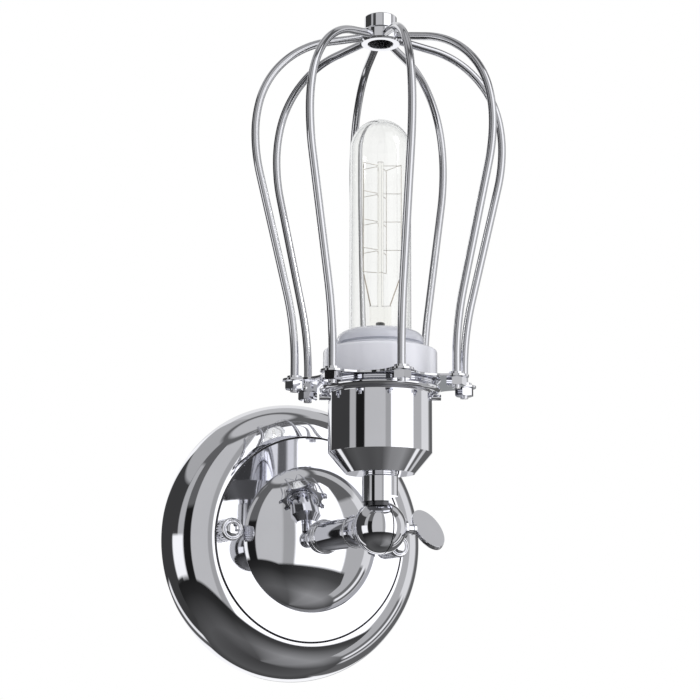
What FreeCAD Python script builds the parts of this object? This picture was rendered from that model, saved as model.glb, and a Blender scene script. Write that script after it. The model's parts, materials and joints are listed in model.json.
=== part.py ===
import FreeCAD, Part
import math
import os
import Sketcher

# Cage wall light: a spun wall plate with a domed cover, a short arm, a split-ball swivel,
# a lamp cup with a porcelain holder, a cage of eight bent wires and a tubular bulb.
# Frame: origin at the centre of the wall face, wall plane Y = 0, room towards -Y, +Z up.

os.makedirs("parts", exist_ok=True)
doc = FreeCAD.newDocument("CageWallLight")
sheet = doc.addObject("Spreadsheet::Sheet", "Sizes")

DRIVING = {
    # wall plate
    "plate_radius": 62.5, "plate_depth": 21.3, "plate_wall": 1.2, "rim_bend": 22.5,
    "rim_shoulder": 48.0, "rim_end_tilt": 9.0, "face_radius": 45.7, "bead_width": 0.8,
    "bead_depth": 0.6,
    # domed cover
    "dome_radius": 32.4, "dome_wall": 1.0, "dome_edge_bend": 14.0, "dome_knee_bend": 24.0,
    "dome_edge_slope": 60.0, "dome_knee_slope": 50.0, "dome_crown_slope": 25.0,
    # mounting bar behind the plate
    "bar_length": 100.0, "bar_width": 20.0, "bar_thick": 2.0, "slot_pitch": 60.0,
    "slot_length": 12.0, "slot_width": 4.6, "stud_spread": 40.5, "stud_turn": -3.1,
    "stud_radius": 2.0, "stud_length": 27.2, "stud_hole": 2.3,
    # thumb nuts on the studs
    "thumb_radius": 5.0, "thumb_grip": 6.2, "thumb_height": 9.2, "thumb_dome": 3.4,
    # arm
    "arm_reach": 88.46, "arm_radius": 6.55, "collar_radius": 7.8, "collar_length": 4.4,
    "ferrule_length": 10.7, "ferrule_inset": 11.8, "pipe_radius": 5.0, "pipe_bore": 3.5,
    # split-ball swivel
    "ball_radius": 11.0, "ball_gap": 0.4, "seam_offset": 0.7, "neck_radius": 7.4,
    "neck_top": 21.2, "neck_step": 1.8, "base_step": 0.7, "step_bend": 1.2,
    "groove_top": 10.3, "groove_depth": 0.6, "pivot_radius": 2.5, "thread_fit": 0.05,
    "friction_radius": 6.8, "friction_recess": 0.8,
    # wing screw
    "wing_seat": 10.3, "wing_washer": 0.9, "wing_flange": 3.3, "wing_neck": 2.1,
    "wing_collar": 2.5, "leaf_start": 16.0, "leaf_length": 12.4, "leaf_span": 23.0,
    "leaf_thick": 2.0, "leaf_tilt": 44.0,
    # lamp cup; a size that ends in _rise is a height over the cup's top
    "cup_bottom": 22.0, "cup_foot": 14.4, "cup_radius": 21.56, "cup_chamfer": 8.5,
    "cup_wall": 1.0, "cup_flare_rise": -3.8, "cup_lip": 25.2, "cup_rim": 23.2,
    "cup_top": 59.0, "set_screw_rise": -5.2, "set_screw_radius": 1.25,
    "set_screw_reach": 25.2, "set_screw_angle": 64.0,
    # porcelain holder
    "bracket_rise": -16.0, "bracket_thick": 1.5, "holder_spigot": 19.0,
    "holder_radius": 23.8, "holder_band": 13.4, "shoulder_radius": 18.3,
    "shoulder_height": 3.9, "holder_rise": 22.3, "mouth_radius": 14.2,
    "shell_radius": 13.17, "shell_wall": 0.38, "socket_floor_rise": -7.5,
    # cage
    "ring_thick": 1.0, "ring_hole": 19.4, "ring_valley": 31.0, "lobe_radius": 5.0,
    "foot_radius": 36.2, "wire_radius": 1.7, "wire_foot_rise": -4.4, "foot_bend_rise": 7.0,
    "foot_bend": 130.0, "waist_bend": 78.0, "cage_reach": 54.0, "cage_reach_rise": 105.9,
    "side_bend": 56.0, "side_turn": 14.0, "crown_bend": 38.8, "crown_slope": 12.0,
    "wire_seat": 6.4, "wire_fit": 0.05, "collar_high": 1.2, "foot_collar": 3.1,
    "nut_flats": 7.0, "nut_height": 3.4, "cage_turn": 13.6, "hub_radius": 9.0,
    "hub_under": 2.6, "hub_over": 3.0, "hub_bore": 5.2, "cap_radius": 6.97,
    "cap_neck": 6.2, "cap_height": 6.5,
    # bulb
    "glass_radius": 13.0, "glass_wall": 0.8, "glass_rise": 114.4, "base_radius": 13.1,
    "base_rise": 20.5, "tip_rise": -5.4, "bulb_face": 26.0, "rod_radius": 1.4,
    "rod_rise": 95.0, "press_rise": 33.3, "filament_low_rise": 46.5,
    "filament_high_rise": 94.4, "filament_circle": 8.6, "support_pitch": 12.3,
}
for row, (alias, value) in enumerate(DRIVING.items(), start=1):
    sheet.set(f"A{row}", alias)
    sheet.set(f"B{row}", str(value))
    sheet.setAlias(f"B{row}", alias)
doc.recompute()


class Size:
    """A size in mm or degrees: its present value and the sheet expression that drives it."""

    def __init__(self, value, text=None):
        self.value = float(value)
        self.text = text or f"({self.value!r})"

    def join(self, other, sign, value):
        return Size(value, f"({self.text} {sign} {other.text})")

    def __add__(self, other):
        other = as_size(other)
        return self.join(other, "+", self.value + other.value)

    def __sub__(self, other):
        other = as_size(other)
        return self.join(other, "-", self.value - other.value)

    def __mul__(self, other):
        other = as_size(other)
        return self.join(other, "*", self.value * other.value)

    def __truediv__(self, other):
        other = as_size(other)
        return self.join(other, "/", self.value / other.value)

    def __radd__(self, other):
        return as_size(other) + self

    def __rsub__(self, other):
        return as_size(other) - self

    def __rmul__(self, other):
        return as_size(other) * self

    def __neg__(self):
        return as_size(0) - self


def as_size(item):
    return item if isinstance(item, Size) else Size(item)


def sine(angle):
    return Size(math.sin(math.radians(angle.value)), f"sin({angle.text})")


def cosine(angle):
    return Size(math.cos(math.radians(angle.value)), f"cos({angle.text})")


def root(item):
    return Size(math.sqrt(item.value), f"sqrt({item.text})")


S = {alias: Size(value, f"Sizes.{alias}") for alias, value in DRIVING.items()}
LEVELS = {alias[:-5]: S["cup_top"] + S[alias] for alias in DRIVING if alias.endswith("_rise")}

# Frames. "wall": local Z leaves the wall. "head": origin at the ball centre, upright.
# "pivot": origin at the ball centre, local Z along +X.
FRAMES = {
    "wall": (FreeCAD.Rotation(FreeCAD.Vector(1, 0, 0), 90), as_size(0)),
    "head": (FreeCAD.Rotation(), -S["arm_reach"]),
    "pivot": (FreeCAD.Rotation(FreeCAD.Vector(0, 1, 0), 90), -S["arm_reach"]),
}
nodes = []


def settle(item, x=0, y=0, z=0, rotation=None):
    """Placement of a helper solid inside its own frame."""
    offsets = [as_size(v) for v in (x, y, z)]
    item.Placement = FreeCAD.Placement(
        FreeCAD.Vector(*[v.value for v in offsets]), rotation or FreeCAD.Rotation())
    for axis, offset in zip("xyz", offsets):
        item.setExpression(f"Placement.Base.{axis}", offset.text)
    return item


def bind(item, **sizes):
    for key, size in sizes.items():
        item.setExpression(key, as_size(size).text)
    return item


def cylinder(radius, bottom, top, x=0, y=0, rotation=None):
    item = bind(doc.addObject("Part::Cylinder", "Round"), Radius=radius, Height=top - bottom)
    if rotation is None:
        return settle(item, x, y, bottom)
    return settle(item, x, y, 0, rotation)


def block(x, y, z):
    """Box from three (low, high) pairs."""
    item = doc.addObject("Part::Box", "Block")
    bind(item, Length=x[1] - x[0], Width=y[1] - y[0], Height=z[1] - z[0])
    return settle(item, x[0], y[0], z[0])


def ball(radius, z=0):
    return settle(bind(doc.addObject("Part::Sphere", "Sphere"), Radius=radius), z=z)


def hexagon(flats, bottom, top, x=0, y=0, turn=0.0):
    """Six-sided prism over its across-flats size."""
    item = doc.addObject("Part::Prism", "Hexagon")
    item.Polygon = 6
    corner = flats / (2 * math.cos(math.pi / 6))
    bind(item, Circumradius=corner, Height=top - bottom)
    return settle(item, x, y, bottom, spin(turn))


def fuse(*items):
    item = doc.addObject("Part::MultiFuse", "Union")
    item.Shapes = list(items)
    return item


def cut(base, *tools):
    item = doc.addObject("Part::Cut", "Cut")
    item.Base = base
    item.Tool = tools[0] if len(tools) == 1 else fuse(*tools)
    return item


def common(first, second):
    item = doc.addObject("Part::Common", "Overlap")
    item.Base = first
    item.Tool = second
    return item


def group(*items):
    item = doc.addObject("Part::Compound", "Group")
    item.Links = list(items)
    return item


def node(name, item, frame, turn=None):
    """Name a finished piece and stand it in its frame; turn is about the frame's own Z."""
    rotation, reach = FRAMES[frame]
    if turn is not None:
        rotation = rotation * spin(turn)
    item.Label = name
    item.Placement = FreeCAD.Placement(FreeCAD.Vector(0, reach.value, 0), rotation)
    item.setExpression("Placement.Base.y", reach.text)
    nodes.append(item)
    return item


def arc_segment(start, end, radius, side):
    """Arc of a circle from start to end; side +1 has its centre on the left of the way."""
    x0, y0, x1, y1 = start[0].value, start[1].value, end[0].value, end[1].value
    half = math.hypot(x1 - x0, y1 - y0) / 2
    rise = math.sqrt(max(radius.value ** 2 - half ** 2, 0.0))
    centre_x = (x0 + x1) / 2 - side * rise * (y1 - y0) / (2 * half)
    centre_y = (y0 + y1) / 2 + side * rise * (x1 - x0) / (2 * half)
    first, last = (start, end) if side > 0 else (end, start)
    angles = [math.atan2(p[1].value - centre_y, p[0].value - centre_x) for p in (first, last)]
    if angles[1] < angles[0]:
        angles[1] += 2 * math.pi
    circle = Part.Circle(FreeCAD.Vector(centre_x, centre_y, 0), FreeCAD.Vector(0, 0, 1), radius.value)
    return Part.ArcOfCircle(circle, angles[0], angles[1])


def line_segment(start, end):
    points = [FreeCAD.Vector(p[0].value, p[1].value, 0) for p in (start, end)]
    return Part.LineSegment(*points)


def draw(sketch, points, closed=True):
    """Draw an outline. A point is (x, y) at the end of a straight run, or (x, y, radius, side)
    at the end of an arc. Every corner and radius is bound to the sheet."""
    points = [(as_size(p[0]), as_size(p[1]), *p[2:]) for p in points]
    steps = list(zip(points[-1:] + points[:-1], points)) if closed else list(zip(points, points[1:]))
    geometry, rules, texts, ends = [], [], {}, []
    for index, (start, end) in enumerate(steps):
        if len(end) == 2:
            geometry.append(line_segment(start, end))
            ends.append((1, 2))
            continue
        radius = as_size(end[2])
        geometry.append(arc_segment(start, end, radius, end[3]))
        ends.append((1, 2) if end[3] > 0 else (2, 1))
        texts[len(rules)] = radius.text
        rules.append(Sketcher.Constraint("Radius", index, radius.value))
    corners = [(index, ends[index][1], end) for index, (start, end) in enumerate(steps)]
    if not closed:
        corners.append((0, ends[0][0], points[0]))
    for index, at, corner in corners:
        for kind, axis, size in (("DistanceX", -2, corner[0]), ("DistanceY", -1, corner[1])):
            if abs(size.value) < 1e-9:
                rules.append(Sketcher.Constraint("PointOnObject", index, at, axis))
                continue
            texts[len(rules)] = size.text
            rules.append(Sketcher.Constraint(kind, -1, 1, index, at, size.value))
    for index in range(len(steps) - (0 if closed else 1)):
        after = (index + 1) % len(steps)
        rules.append(Sketcher.Constraint("Coincident", index, ends[index][1], after, ends[after][0]))
    sketch.addGeometry(geometry, False)
    sketch.addConstraint(rules)
    for index, text in texts.items():
        sketch.setExpression(f"Constraints[{index}]", text)


def sketch_in(body, role, name, level=None):
    sketch = body.newObject("Sketcher::SketchObject", name)
    plane = [item for item in body.Origin.OriginFeatures if item.Role == role][0]
    sketch.AttachmentSupport = (plane, [""])
    sketch.MapMode = "FlatFace"
    if level is not None:
        sketch.setExpression("AttachmentOffset.Base.z", as_size(level).text)
    return sketch


def turned(points, name="Turned"):
    """Body turned about its Z axis from an outline of (radius, height) points."""
    body = doc.addObject("PartDesign::Body", name)
    sketch = sketch_in(body, "XZ_Plane", "Outline")
    draw(sketch, points)
    turn = body.newObject("PartDesign::Revolution", "Turn")
    turn.Profile = sketch
    turn.ReferenceAxis = (sketch, ["V_Axis"])
    turn.Angle = 360
    body.Tip = turn
    return body


def polar(radius, degrees):
    """Place on a circle, degrees from local X."""
    return radius * math.cos(math.radians(degrees)), radius * math.sin(math.radians(degrees))


def on_circle(radius, angle):
    """Place on a circle at an angle that the sheet drives."""
    return radius * cosine(angle), radius * sine(angle)


def spin(degrees):
    return FreeCAD.Rotation(FreeCAD.Vector(0, 0, 1), degrees)


def lying(degrees):
    """Rotation that lays local Z into the local XY plane, degrees from X."""
    return spin(degrees) * FreeCAD.Rotation(FreeCAD.Vector(0, 1, 0), 90)


# ---------------------------------------------------------------- wall plate and cover

def rim_profile(inset):
    """Rounded rim from the wall to the face: two tangent arcs, shifted inwards by the wall."""
    shoulder = S["rim_shoulder"]
    crest = (S["plate_depth"] - S["rim_bend"] * cosine(shoulder)) / (1 - cosine(shoulder))
    first, second = S["rim_bend"] - inset, crest - inset
    centre_x = S["plate_radius"] - S["rim_bend"]
    knee = (centre_x + first * sine(shoulder), first * cosine(shoulder))
    crest_x = centre_x - (crest - S["rim_bend"]) * sine(shoulder)
    crest_z = S["plate_depth"] - crest
    tilt = S["rim_end_tilt"]
    end = (crest_x + second * sine(tilt), crest_z + second * cosine(tilt))
    return first, second, (centre_x + first, as_size(0)), knee, end


def make_wall_plate():
    bend, crest, foot, knee, end = rim_profile(as_size(0))
    inner_bend, inner_crest, inner_foot, inner_knee, inner_end = rim_profile(S["plate_wall"])
    face, under = S["plate_depth"], S["plate_depth"] - S["plate_wall"]
    bore = S["pipe_radius"] + 0.2
    body = turned([
        foot, (*knee, bend, 1), (*end, crest, 1),
        (S["face_radius"], face - S["bead_depth"]),
        (S["face_radius"] - S["bead_width"], face), (bore, face), (bore, under),
        (inner_end[0] - 1.0, under), inner_end, (*inner_knee, inner_crest, -1),
        (*inner_foot, inner_bend, -1)])
    holes = []
    for half_turn in (0, 180):
        x, y = on_circle(S["stud_spread"], S["stud_turn"] + half_turn)
        holes.append(cylinder(S["stud_hole"], under - 1, face + 1, x, y))
    node("wall_plate", cut(body, *holes), "wall")


def dome_profile(inset):
    """Domed cover from its edge to its crown: edge arc, knee arc and crown arc."""
    edge, knee, crown = S["dome_edge_slope"], S["dome_knee_slope"], S["dome_crown_slope"]
    first_x = S["dome_radius"] - S["dome_edge_bend"] * sine(edge)
    first_z = -S["dome_edge_bend"] * cosine(edge)
    second_x = first_x + (S["dome_edge_bend"] - S["dome_knee_bend"]) * sine(knee)
    second_z = first_z + (S["dome_edge_bend"] - S["dome_knee_bend"]) * cosine(knee)
    crown_bend = S["dome_knee_bend"] + second_x / sine(crown)
    third_z = second_z - (crown_bend - S["dome_knee_bend"]) * cosine(crown)
    bends = [bend - inset for bend in (S["dome_edge_bend"], S["dome_knee_bend"], crown_bend)]
    start = (first_x + bends[0] * sine(edge), first_z + bends[0] * cosine(edge))
    middle = (first_x + bends[0] * sine(knee), first_z + bends[0] * cosine(knee))
    top = (second_x + bends[1] * sine(crown), second_z + bends[1] * cosine(crown))
    return bends, start, middle, top, third_z


def dome_apex():
    bends, start, middle, top, centre = dome_profile(as_size(0))
    return S["plate_depth"] + centre + bends[2]


def make_dome_cover():
    base = S["plate_depth"]
    bore = S["pipe_radius"] + 0.2
    outer, start, middle, top, centre = dome_profile(as_size(0))
    inner, inner_start, inner_middle, inner_top, inner_centre = dome_profile(S["dome_wall"])
    peak = centre + root(outer[2] * outer[2] - bore * bore)
    inner_peak = inner_centre + root(inner[2] * inner[2] - bore * bore)
    foot = inner_start[0] + inner_start[1] * 0.6
    node("dome_cover", turned([
        (start[0], base + start[1]), (middle[0], base + middle[1], outer[0], 1),
        (top[0], base + top[1], outer[1], 1), (bore, base + peak, outer[2], 1),
        (bore, base + inner_peak), (inner_top[0], base + inner_top[1], inner[2], -1),
        (inner_middle[0], base + inner_middle[1], inner[1], -1), (foot, base)]), "wall")


# ---------------------------------------------------------------- parts behind the plate

def make_mounting_bar():
    half, width, thick = S["bar_length"] / 2, S["bar_width"] / 2, S["bar_thick"]
    strap = block((-half + width, half - width), (-width, width), (as_size(0), thick))
    ends = [cylinder(width, as_size(0), thick, side * (half - width)) for side in (1, -1)]
    tools = []
    reach = (S["slot_length"] - S["slot_width"]) / 2
    for side in (1, -1):
        centre = side * S["slot_pitch"] / 2
        slot = S["slot_width"] / 2
        tools.append(block((centre - reach, centre + reach), (-slot, slot), (as_size(-1), thick + 1)))
        for end in (1, -1):
            tools.append(cylinder(slot, as_size(-1), thick + 1, centre + end * reach))
    for half_turn in (0, 180):
        x, y = on_circle(S["stud_spread"], S["stud_turn"] + half_turn)
        tools.append(cylinder(S["stud_radius"] + S["thread_fit"], as_size(-1), thick + 1, x, y))
    tools.append(cylinder(1.5 + S["thread_fit"], as_size(-1), thick + 1, EARTH_X))
    node("mounting_bar", cut(fuse(strap, *ends), *tools), "wall")


EARTH_X = 16.0


def make_bar_hardware():
    thick = S["bar_thick"]
    studs = []
    for half_turn in (0, 180):
        x, y = on_circle(S["stud_spread"], S["stud_turn"] + half_turn)
        studs.append(cylinder(S["stud_radius"], as_size(0.2), S["stud_length"], x, y))
    node("mounting_studs", group(*studs), "wall")
    head = cylinder(3.2, thick, thick + 2.0, EARTH_X)
    shank = cylinder(1.5, as_size(0.2), thick + 0.5, EARTH_X)
    slot = block((as_size(EARTH_X - 4), as_size(EARTH_X + 4)), (-0.4, 0.4), (thick + 1.2, thick + 3))
    node("earth_screw", cut(fuse(head, shank), slot), "wall")
    case = block((as_size(-23.3), as_size(-8.5)), (as_size(-9), as_size(9)), (thick, thick + 10.5))
    ways = [cylinder(2.0, as_size(-12), as_size(12)) for way in range(2)]
    along = FreeCAD.Rotation(FreeCAD.Vector(1, 0, 0), -90)
    for way, x in zip(ways, (-19.6, -12.2)):
        settle(way, x, -12, thick + 4.2, along)
    wells = [cylinder(1.9, thick + 4.2, thick + 12, x, y) for x in (-19.6, -12.2) for y in (-5, 5)]
    node("terminal_block", cut(case, *ways, *wells), "wall")
    screws = [cylinder(1.8, thick + 6.3, thick + 9.0, x, y) for x in (-19.6, -12.2) for y in (-5, 5)]
    node("terminal_screws", group(*screws), "wall")


def make_thumb_nuts():
    """Knurled nuts with a raised rim and a domed end, blind on their studs."""
    seat = S["plate_depth"]
    top = seat + S["thumb_height"]
    grip_top = seat + S["thumb_grip"]
    radius, dome = S["thumb_radius"], S["thumb_dome"]
    bore = S["stud_radius"] + S["thread_fit"]
    end, rise = dome - 1.2, 0.3
    end_bend = (end * end + rise * rise) / (2 * rise)
    for name, half_turn in (("thumb_nut_right", 0), ("thumb_nut_left", 180)):
        x, y = on_circle(S["stud_spread"], S["stud_turn"] + half_turn)
        crown = turned([
            (0, seat), (radius - 0.4, seat), (radius, seat + 0.4), (radius, grip_top + 0.5),
            (radius - 0.9, grip_top + 1.4, 0.9, 1), (dome + 0.2, grip_top + 1.0),
            (dome, grip_top + 1.0), (end, top - rise, 1.7, 1), (0, top, end_bend, 1)], "Thumb")
        settle(crown, x, y)
        tools = [cylinder(bore, seat - 1, S["stud_length"] + 0.5, x, y)]
        for step in range(24):
            across, up = polar(radius + 0.12, 15.0 * step)
            tools.append(cylinder(0.42, seat - 1, grip_top, x + across, y + up))
        node(name, cut(crown, *tools), "wall")


# ---------------------------------------------------------------- arm

def make_arm():
    apex = dome_apex()
    tube_start = apex + S["collar_length"]
    tube_end = S["arm_reach"] - S["ball_radius"] - S["ferrule_inset"] + 0.35
    thread = S["pipe_radius"] + S["thread_fit"]
    under = S["plate_depth"] - S["plate_wall"]
    radius, flare = S["arm_radius"], S["collar_radius"]
    washer = 1.2
    nut = 4.0
    node("arm_collar", turned([
        (thread, apex), (flare - 1.6, apex), (flare - 0.5, apex + 0.5, 1.4, 1),
        (flare - 0.5, apex + 1.7, 0.75, 1), (flare - 0.9, apex + 1.8),
        (flare - 0.9, apex + 2.2), (flare - 0.7, apex + 3.4, 0.75, 1),
        (radius + 0.2, apex + 3.6), (radius, tube_start), (thread, tube_start)]), "wall")
    node("arm_tube", turned([
        (thread, tube_start), (radius, tube_start), (radius, tube_end), (thread, tube_end)]), "wall")
    node("arm_pipe", turned([
        (S["pipe_bore"], under - washer - nut - 3.5), (S["pipe_radius"], under - washer - nut - 3.5),
        (S["pipe_radius"], tube_start + 11), (S["pipe_bore"], tube_start + 11)]), "wall")
    node("arm_washer", turned([
        (S["pipe_radius"] + 0.2, under - washer), (as_size(10.5), under - washer),
        (as_size(10.5), under), (S["pipe_radius"] + 0.2, under)]), "wall")
    body = hexagon(as_size(14), under - washer - nut, under - washer)
    node("arm_nut", cut(body, cylinder(thread, under - washer - nut - 1, under)), "wall")
    return tube_end


# ---------------------------------------------------------------- split-ball swivel

def step_room(edge, level, side):
    """Room for the other half ball: right of the edge and below the level for side +1, left
    of the edge and above the level for side -1, with a rounded corner."""
    far, bend = S["ball_radius"] * 2, S["step_bend"]
    inner, start = edge + side * bend, level - side * bend
    spans = [(inner, inner + side * far, level, level - side * far * 2),
             (edge, edge + side * far, start, start - side * far * 2)]
    blocks = []
    for near, away, top, bottom in spans:
        across = (near, away) if side > 0 else (away, near)
        blocks.append(block(across, (-far, far), (bottom, top) if side > 0 else (top, bottom)))
    corner = bind(doc.addObject("Part::Cylinder", "Corner"), Radius=bend, Height=far * 2)
    return fuse(*blocks, settle(corner, inner, -far, start, lying(90)))


def make_swivel_base(tube_end):
    """Half ball on the right with the ferrule that screws into the arm tube."""
    centre = S["arm_reach"]
    radius = S["arm_radius"]
    edge = S["seam_offset"] + S["ball_gap"] / 2
    ferrule_end = tube_end + S["ferrule_length"]
    ferrule = turned([
        (S["pipe_bore"], tube_end - 8), (S["pipe_radius"], tube_end - 8),
        (S["pipe_radius"], tube_end), (radius, tube_end), (radius + 0.5, tube_end + 0.5, 0.55, 1),
        (radius, tube_end + 1.0, 0.55, 1), (radius, ferrule_end - 1.0),
        (radius + 0.5, ferrule_end - 0.5, 0.55, 1), (radius, ferrule_end, 0.55, 1),
        (radius - 0.6, ferrule_end + 0.6), (radius - 0.6, centre - 4), (S["pipe_bore"], centre - 4)])
    far = S["ball_radius"] * 2
    room = step_room(edge, centre - S["ball_radius"] - S["base_step"], -1)
    right = block((edge, S["wing_seat"]), (-far, far), (centre - far, centre + far))
    half = common(ball(S["ball_radius"], centre), right)
    across = lying(0)
    pivot = bind(doc.addObject("Part::Cylinder", "Pivot"),
                 Radius=S["pivot_radius"] + S["thread_fit"], Height=far)
    settle(pivot, 0, 0, centre, across)
    recess = bind(doc.addObject("Part::Cylinder", "Recess"),
                  Radius=S["friction_radius"] + 0.1, Height=S["friction_recess"] + edge)
    settle(recess, 0, 0, centre, across)
    body = fuse(half, cut(ferrule, room))
    node("swivel_base", cut(body, pivot, recess), "wall")


def make_friction_washer():
    """Washer let into the fixed half, proud by the seam's width."""
    low = S["seam_offset"] - S["ball_gap"] / 2 + 0.04
    high = S["seam_offset"] + S["ball_gap"] / 2 + S["friction_recess"]
    bore = S["pivot_radius"] + 0.15
    node("friction_washer", turned([
        (bore, low), (S["friction_radius"], low), (S["friction_radius"], high), (bore, high)]),
        "pivot")


def make_swivel_head():
    """Half ball on the left with the grooved neck that carries the lamp cup."""
    edge = S["seam_offset"] - S["ball_gap"] / 2
    far = S["ball_radius"] * 2
    radius, top = S["neck_radius"], S["neck_top"]
    slim, groove = radius - S["groove_depth"], S["groove_top"]
    neck = turned([
        (0, 5), (slim, 5), (slim, groove - 0.1), (radius, groove + 0.1), (radius, top - 0.4),
        (radius - 0.4, top), (0, top)])
    room = step_room(edge, S["ball_radius"] + S["neck_step"], 1)
    left = block((-far, edge), (-far, far), (-far, far))
    half = common(ball(S["ball_radius"]), left)
    bore = cylinder(S["pipe_radius"] + S["thread_fit"], PIPE_FOOT - 0.5, top + 1)
    pivot = bind(doc.addObject("Part::Cylinder", "Pivot"),
                 Radius=S["pivot_radius"] + S["thread_fit"], Height=8.6 + S["seam_offset"])
    settle(pivot, -8.6, 0, 0, lying(0))
    body = fuse(half, cut(neck, room))
    node("swivel_head", cut(body, bore, pivot), "head")


PIPE_FOOT = S["ball_radius"] + S["neck_step"] + 2.2


def make_wing_screw():
    seat = S["wing_seat"]
    shoulder = seat + S["wing_washer"] + 0.05
    start, collar = S["leaf_start"], S["wing_collar"]
    flange, slim = S["wing_flange"], S["wing_neck"]
    centre = start + S["leaf_length"] / 2
    node("wing_washer", turned([
        (S["pivot_radius"] + 0.15, seat), (as_size(4.3), seat), (as_size(4.3), seat + S["wing_washer"]),
        (S["pivot_radius"] + 0.15, seat + S["wing_washer"])]), "pivot")
    stem = turned([
        (0, -8), (S["pivot_radius"] - 0.5, -8), (S["pivot_radius"], -7.5),
        (S["pivot_radius"], shoulder), (flange, shoulder), (flange, shoulder + 0.7),
        (flange - 0.4, shoulder + 1.05), (slim, shoulder + 1.05), (slim, start - 1.3),
        (collar - 0.3, start - 1.3), (collar, start - 1.0), (collar, start), (collar - 0.4, start + 0.4),
        (0, start + 0.4)])
    leaf = bind(doc.addObject("Part::Ellipsoid", "Leaf"), Radius1=S["leaf_thick"] * 3,
                Radius2=S["leaf_length"] / 2, Radius3=S["leaf_span"] / 2)
    half = S["leaf_span"]
    thick = S["leaf_thick"] / 2
    settle(leaf, 0, 0, centre, FreeCAD.Rotation(FreeCAD.Vector(0, 0, 1), FreeCAD.Vector(1, 0, 0)))
    slab = block((-thick, thick), (-half, half), (centre - half, centre + half))
    node("wing_screw", fuse(stem, common(leaf, slab)), "pivot", turn=LEAF_TURN)


LEAF_TURN = 90.0 - DRIVING["leaf_tilt"]


# ---------------------------------------------------------------- lamp cup and holder

def make_cup():
    wall, bottom = S["cup_wall"], S["cup_bottom"]
    foot, radius, lip, rim = S["cup_foot"], S["cup_radius"], S["cup_lip"], S["cup_rim"]
    shoulder = bottom + S["cup_chamfer"]
    flare, top = LEVELS["cup_flare"], S["cup_top"]
    bore = S["pipe_radius"] + 0.2
    bead = lip - rim
    body = turned([
        (bore, bottom), (foot, bottom), (radius, shoulder), (radius, flare - 0.8),
        (radius + 0.8, flare, 0.8, -1), (rim, flare), (lip, flare + bead, bead, 1),
        (rim, flare + 2 * bead * 0.75, bead, 1), (rim, top), (radius - wall, top),
        (radius - wall, shoulder + wall / 2), (foot - wall / 2, bottom + wall), (bore, bottom + wall)],
        "Cup")
    holes = []
    for half_turn in (0, 180):
        angle = S["set_screw_angle"].value - 90 + half_turn
        hole = bind(doc.addObject("Part::Cylinder", "Hole"),
                    Radius=S["set_screw_radius"] + S["thread_fit"], Height=S["cup_lip"])
        holes.append(settle(hole, 0, 0, LEVELS["set_screw"], lying(angle)))
    node("socket_cup", cut(body, *holes), "head")


def make_cup_hardware():
    thread = S["pipe_radius"] + S["thread_fit"]
    inside = S["cup_bottom"] + S["cup_wall"]
    level = LEVELS["bracket"]
    node("neck_washer", turned([
        (S["pipe_radius"] + 0.2, S["neck_top"]), (S["neck_radius"] - 0.5, S["neck_top"]),
        (S["neck_radius"] - 0.5, S["cup_bottom"]), (S["pipe_radius"] + 0.2, S["cup_bottom"])]), "head")
    top = level + S["bracket_thick"]
    node("head_pipe", turned([
        (S["pipe_bore"], PIPE_FOOT), (S["pipe_radius"], PIPE_FOOT), (S["pipe_radius"], top),
        (S["pipe_bore"], top)]), "head")
    nut = cut(hexagon(as_size(14), inside, inside + 4), cylinder(thread, inside - 1, inside + 5))
    node("cup_nut", nut, "head")
    plate = turned([
        (thread, level - 4), (as_size(8), level - 4), (as_size(8), level), (as_size(15), level),
        (as_size(15), top), (thread, top)])
    holes = [cylinder(1.6, level - 1, top + 1, side * BRACKET_SCREW_X) for side in (1, -1)]
    node("holder_bracket", cut(plate, *holes), "head")
    screws = []
    for side in (1, -1):
        shank = cylinder(1.45, level - 0.2, LEVELS["socket_floor"] - 1.5, side * BRACKET_SCREW_X)
        screws.append(fuse(shank, cylinder(2.8, level - 1.8, level, side * BRACKET_SCREW_X)))
    node("bracket_screws", group(*screws), "head")
    pins = []
    for half_turn in (0, 180):
        angle = S["set_screw_angle"].value - 90 + half_turn
        x, y = polar(S["holder_spigot"], angle)
        pin = bind(doc.addObject("Part::Cylinder", "Pin"), Radius=S["set_screw_radius"],
                   Height=S["set_screw_reach"] - S["holder_spigot"])
        pins.append(settle(pin, x, y, LEVELS["set_screw"], lying(angle)))
    node("cup_set_screws", group(*pins), "head")


BRACKET_SCREW_X = 11.8


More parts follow.
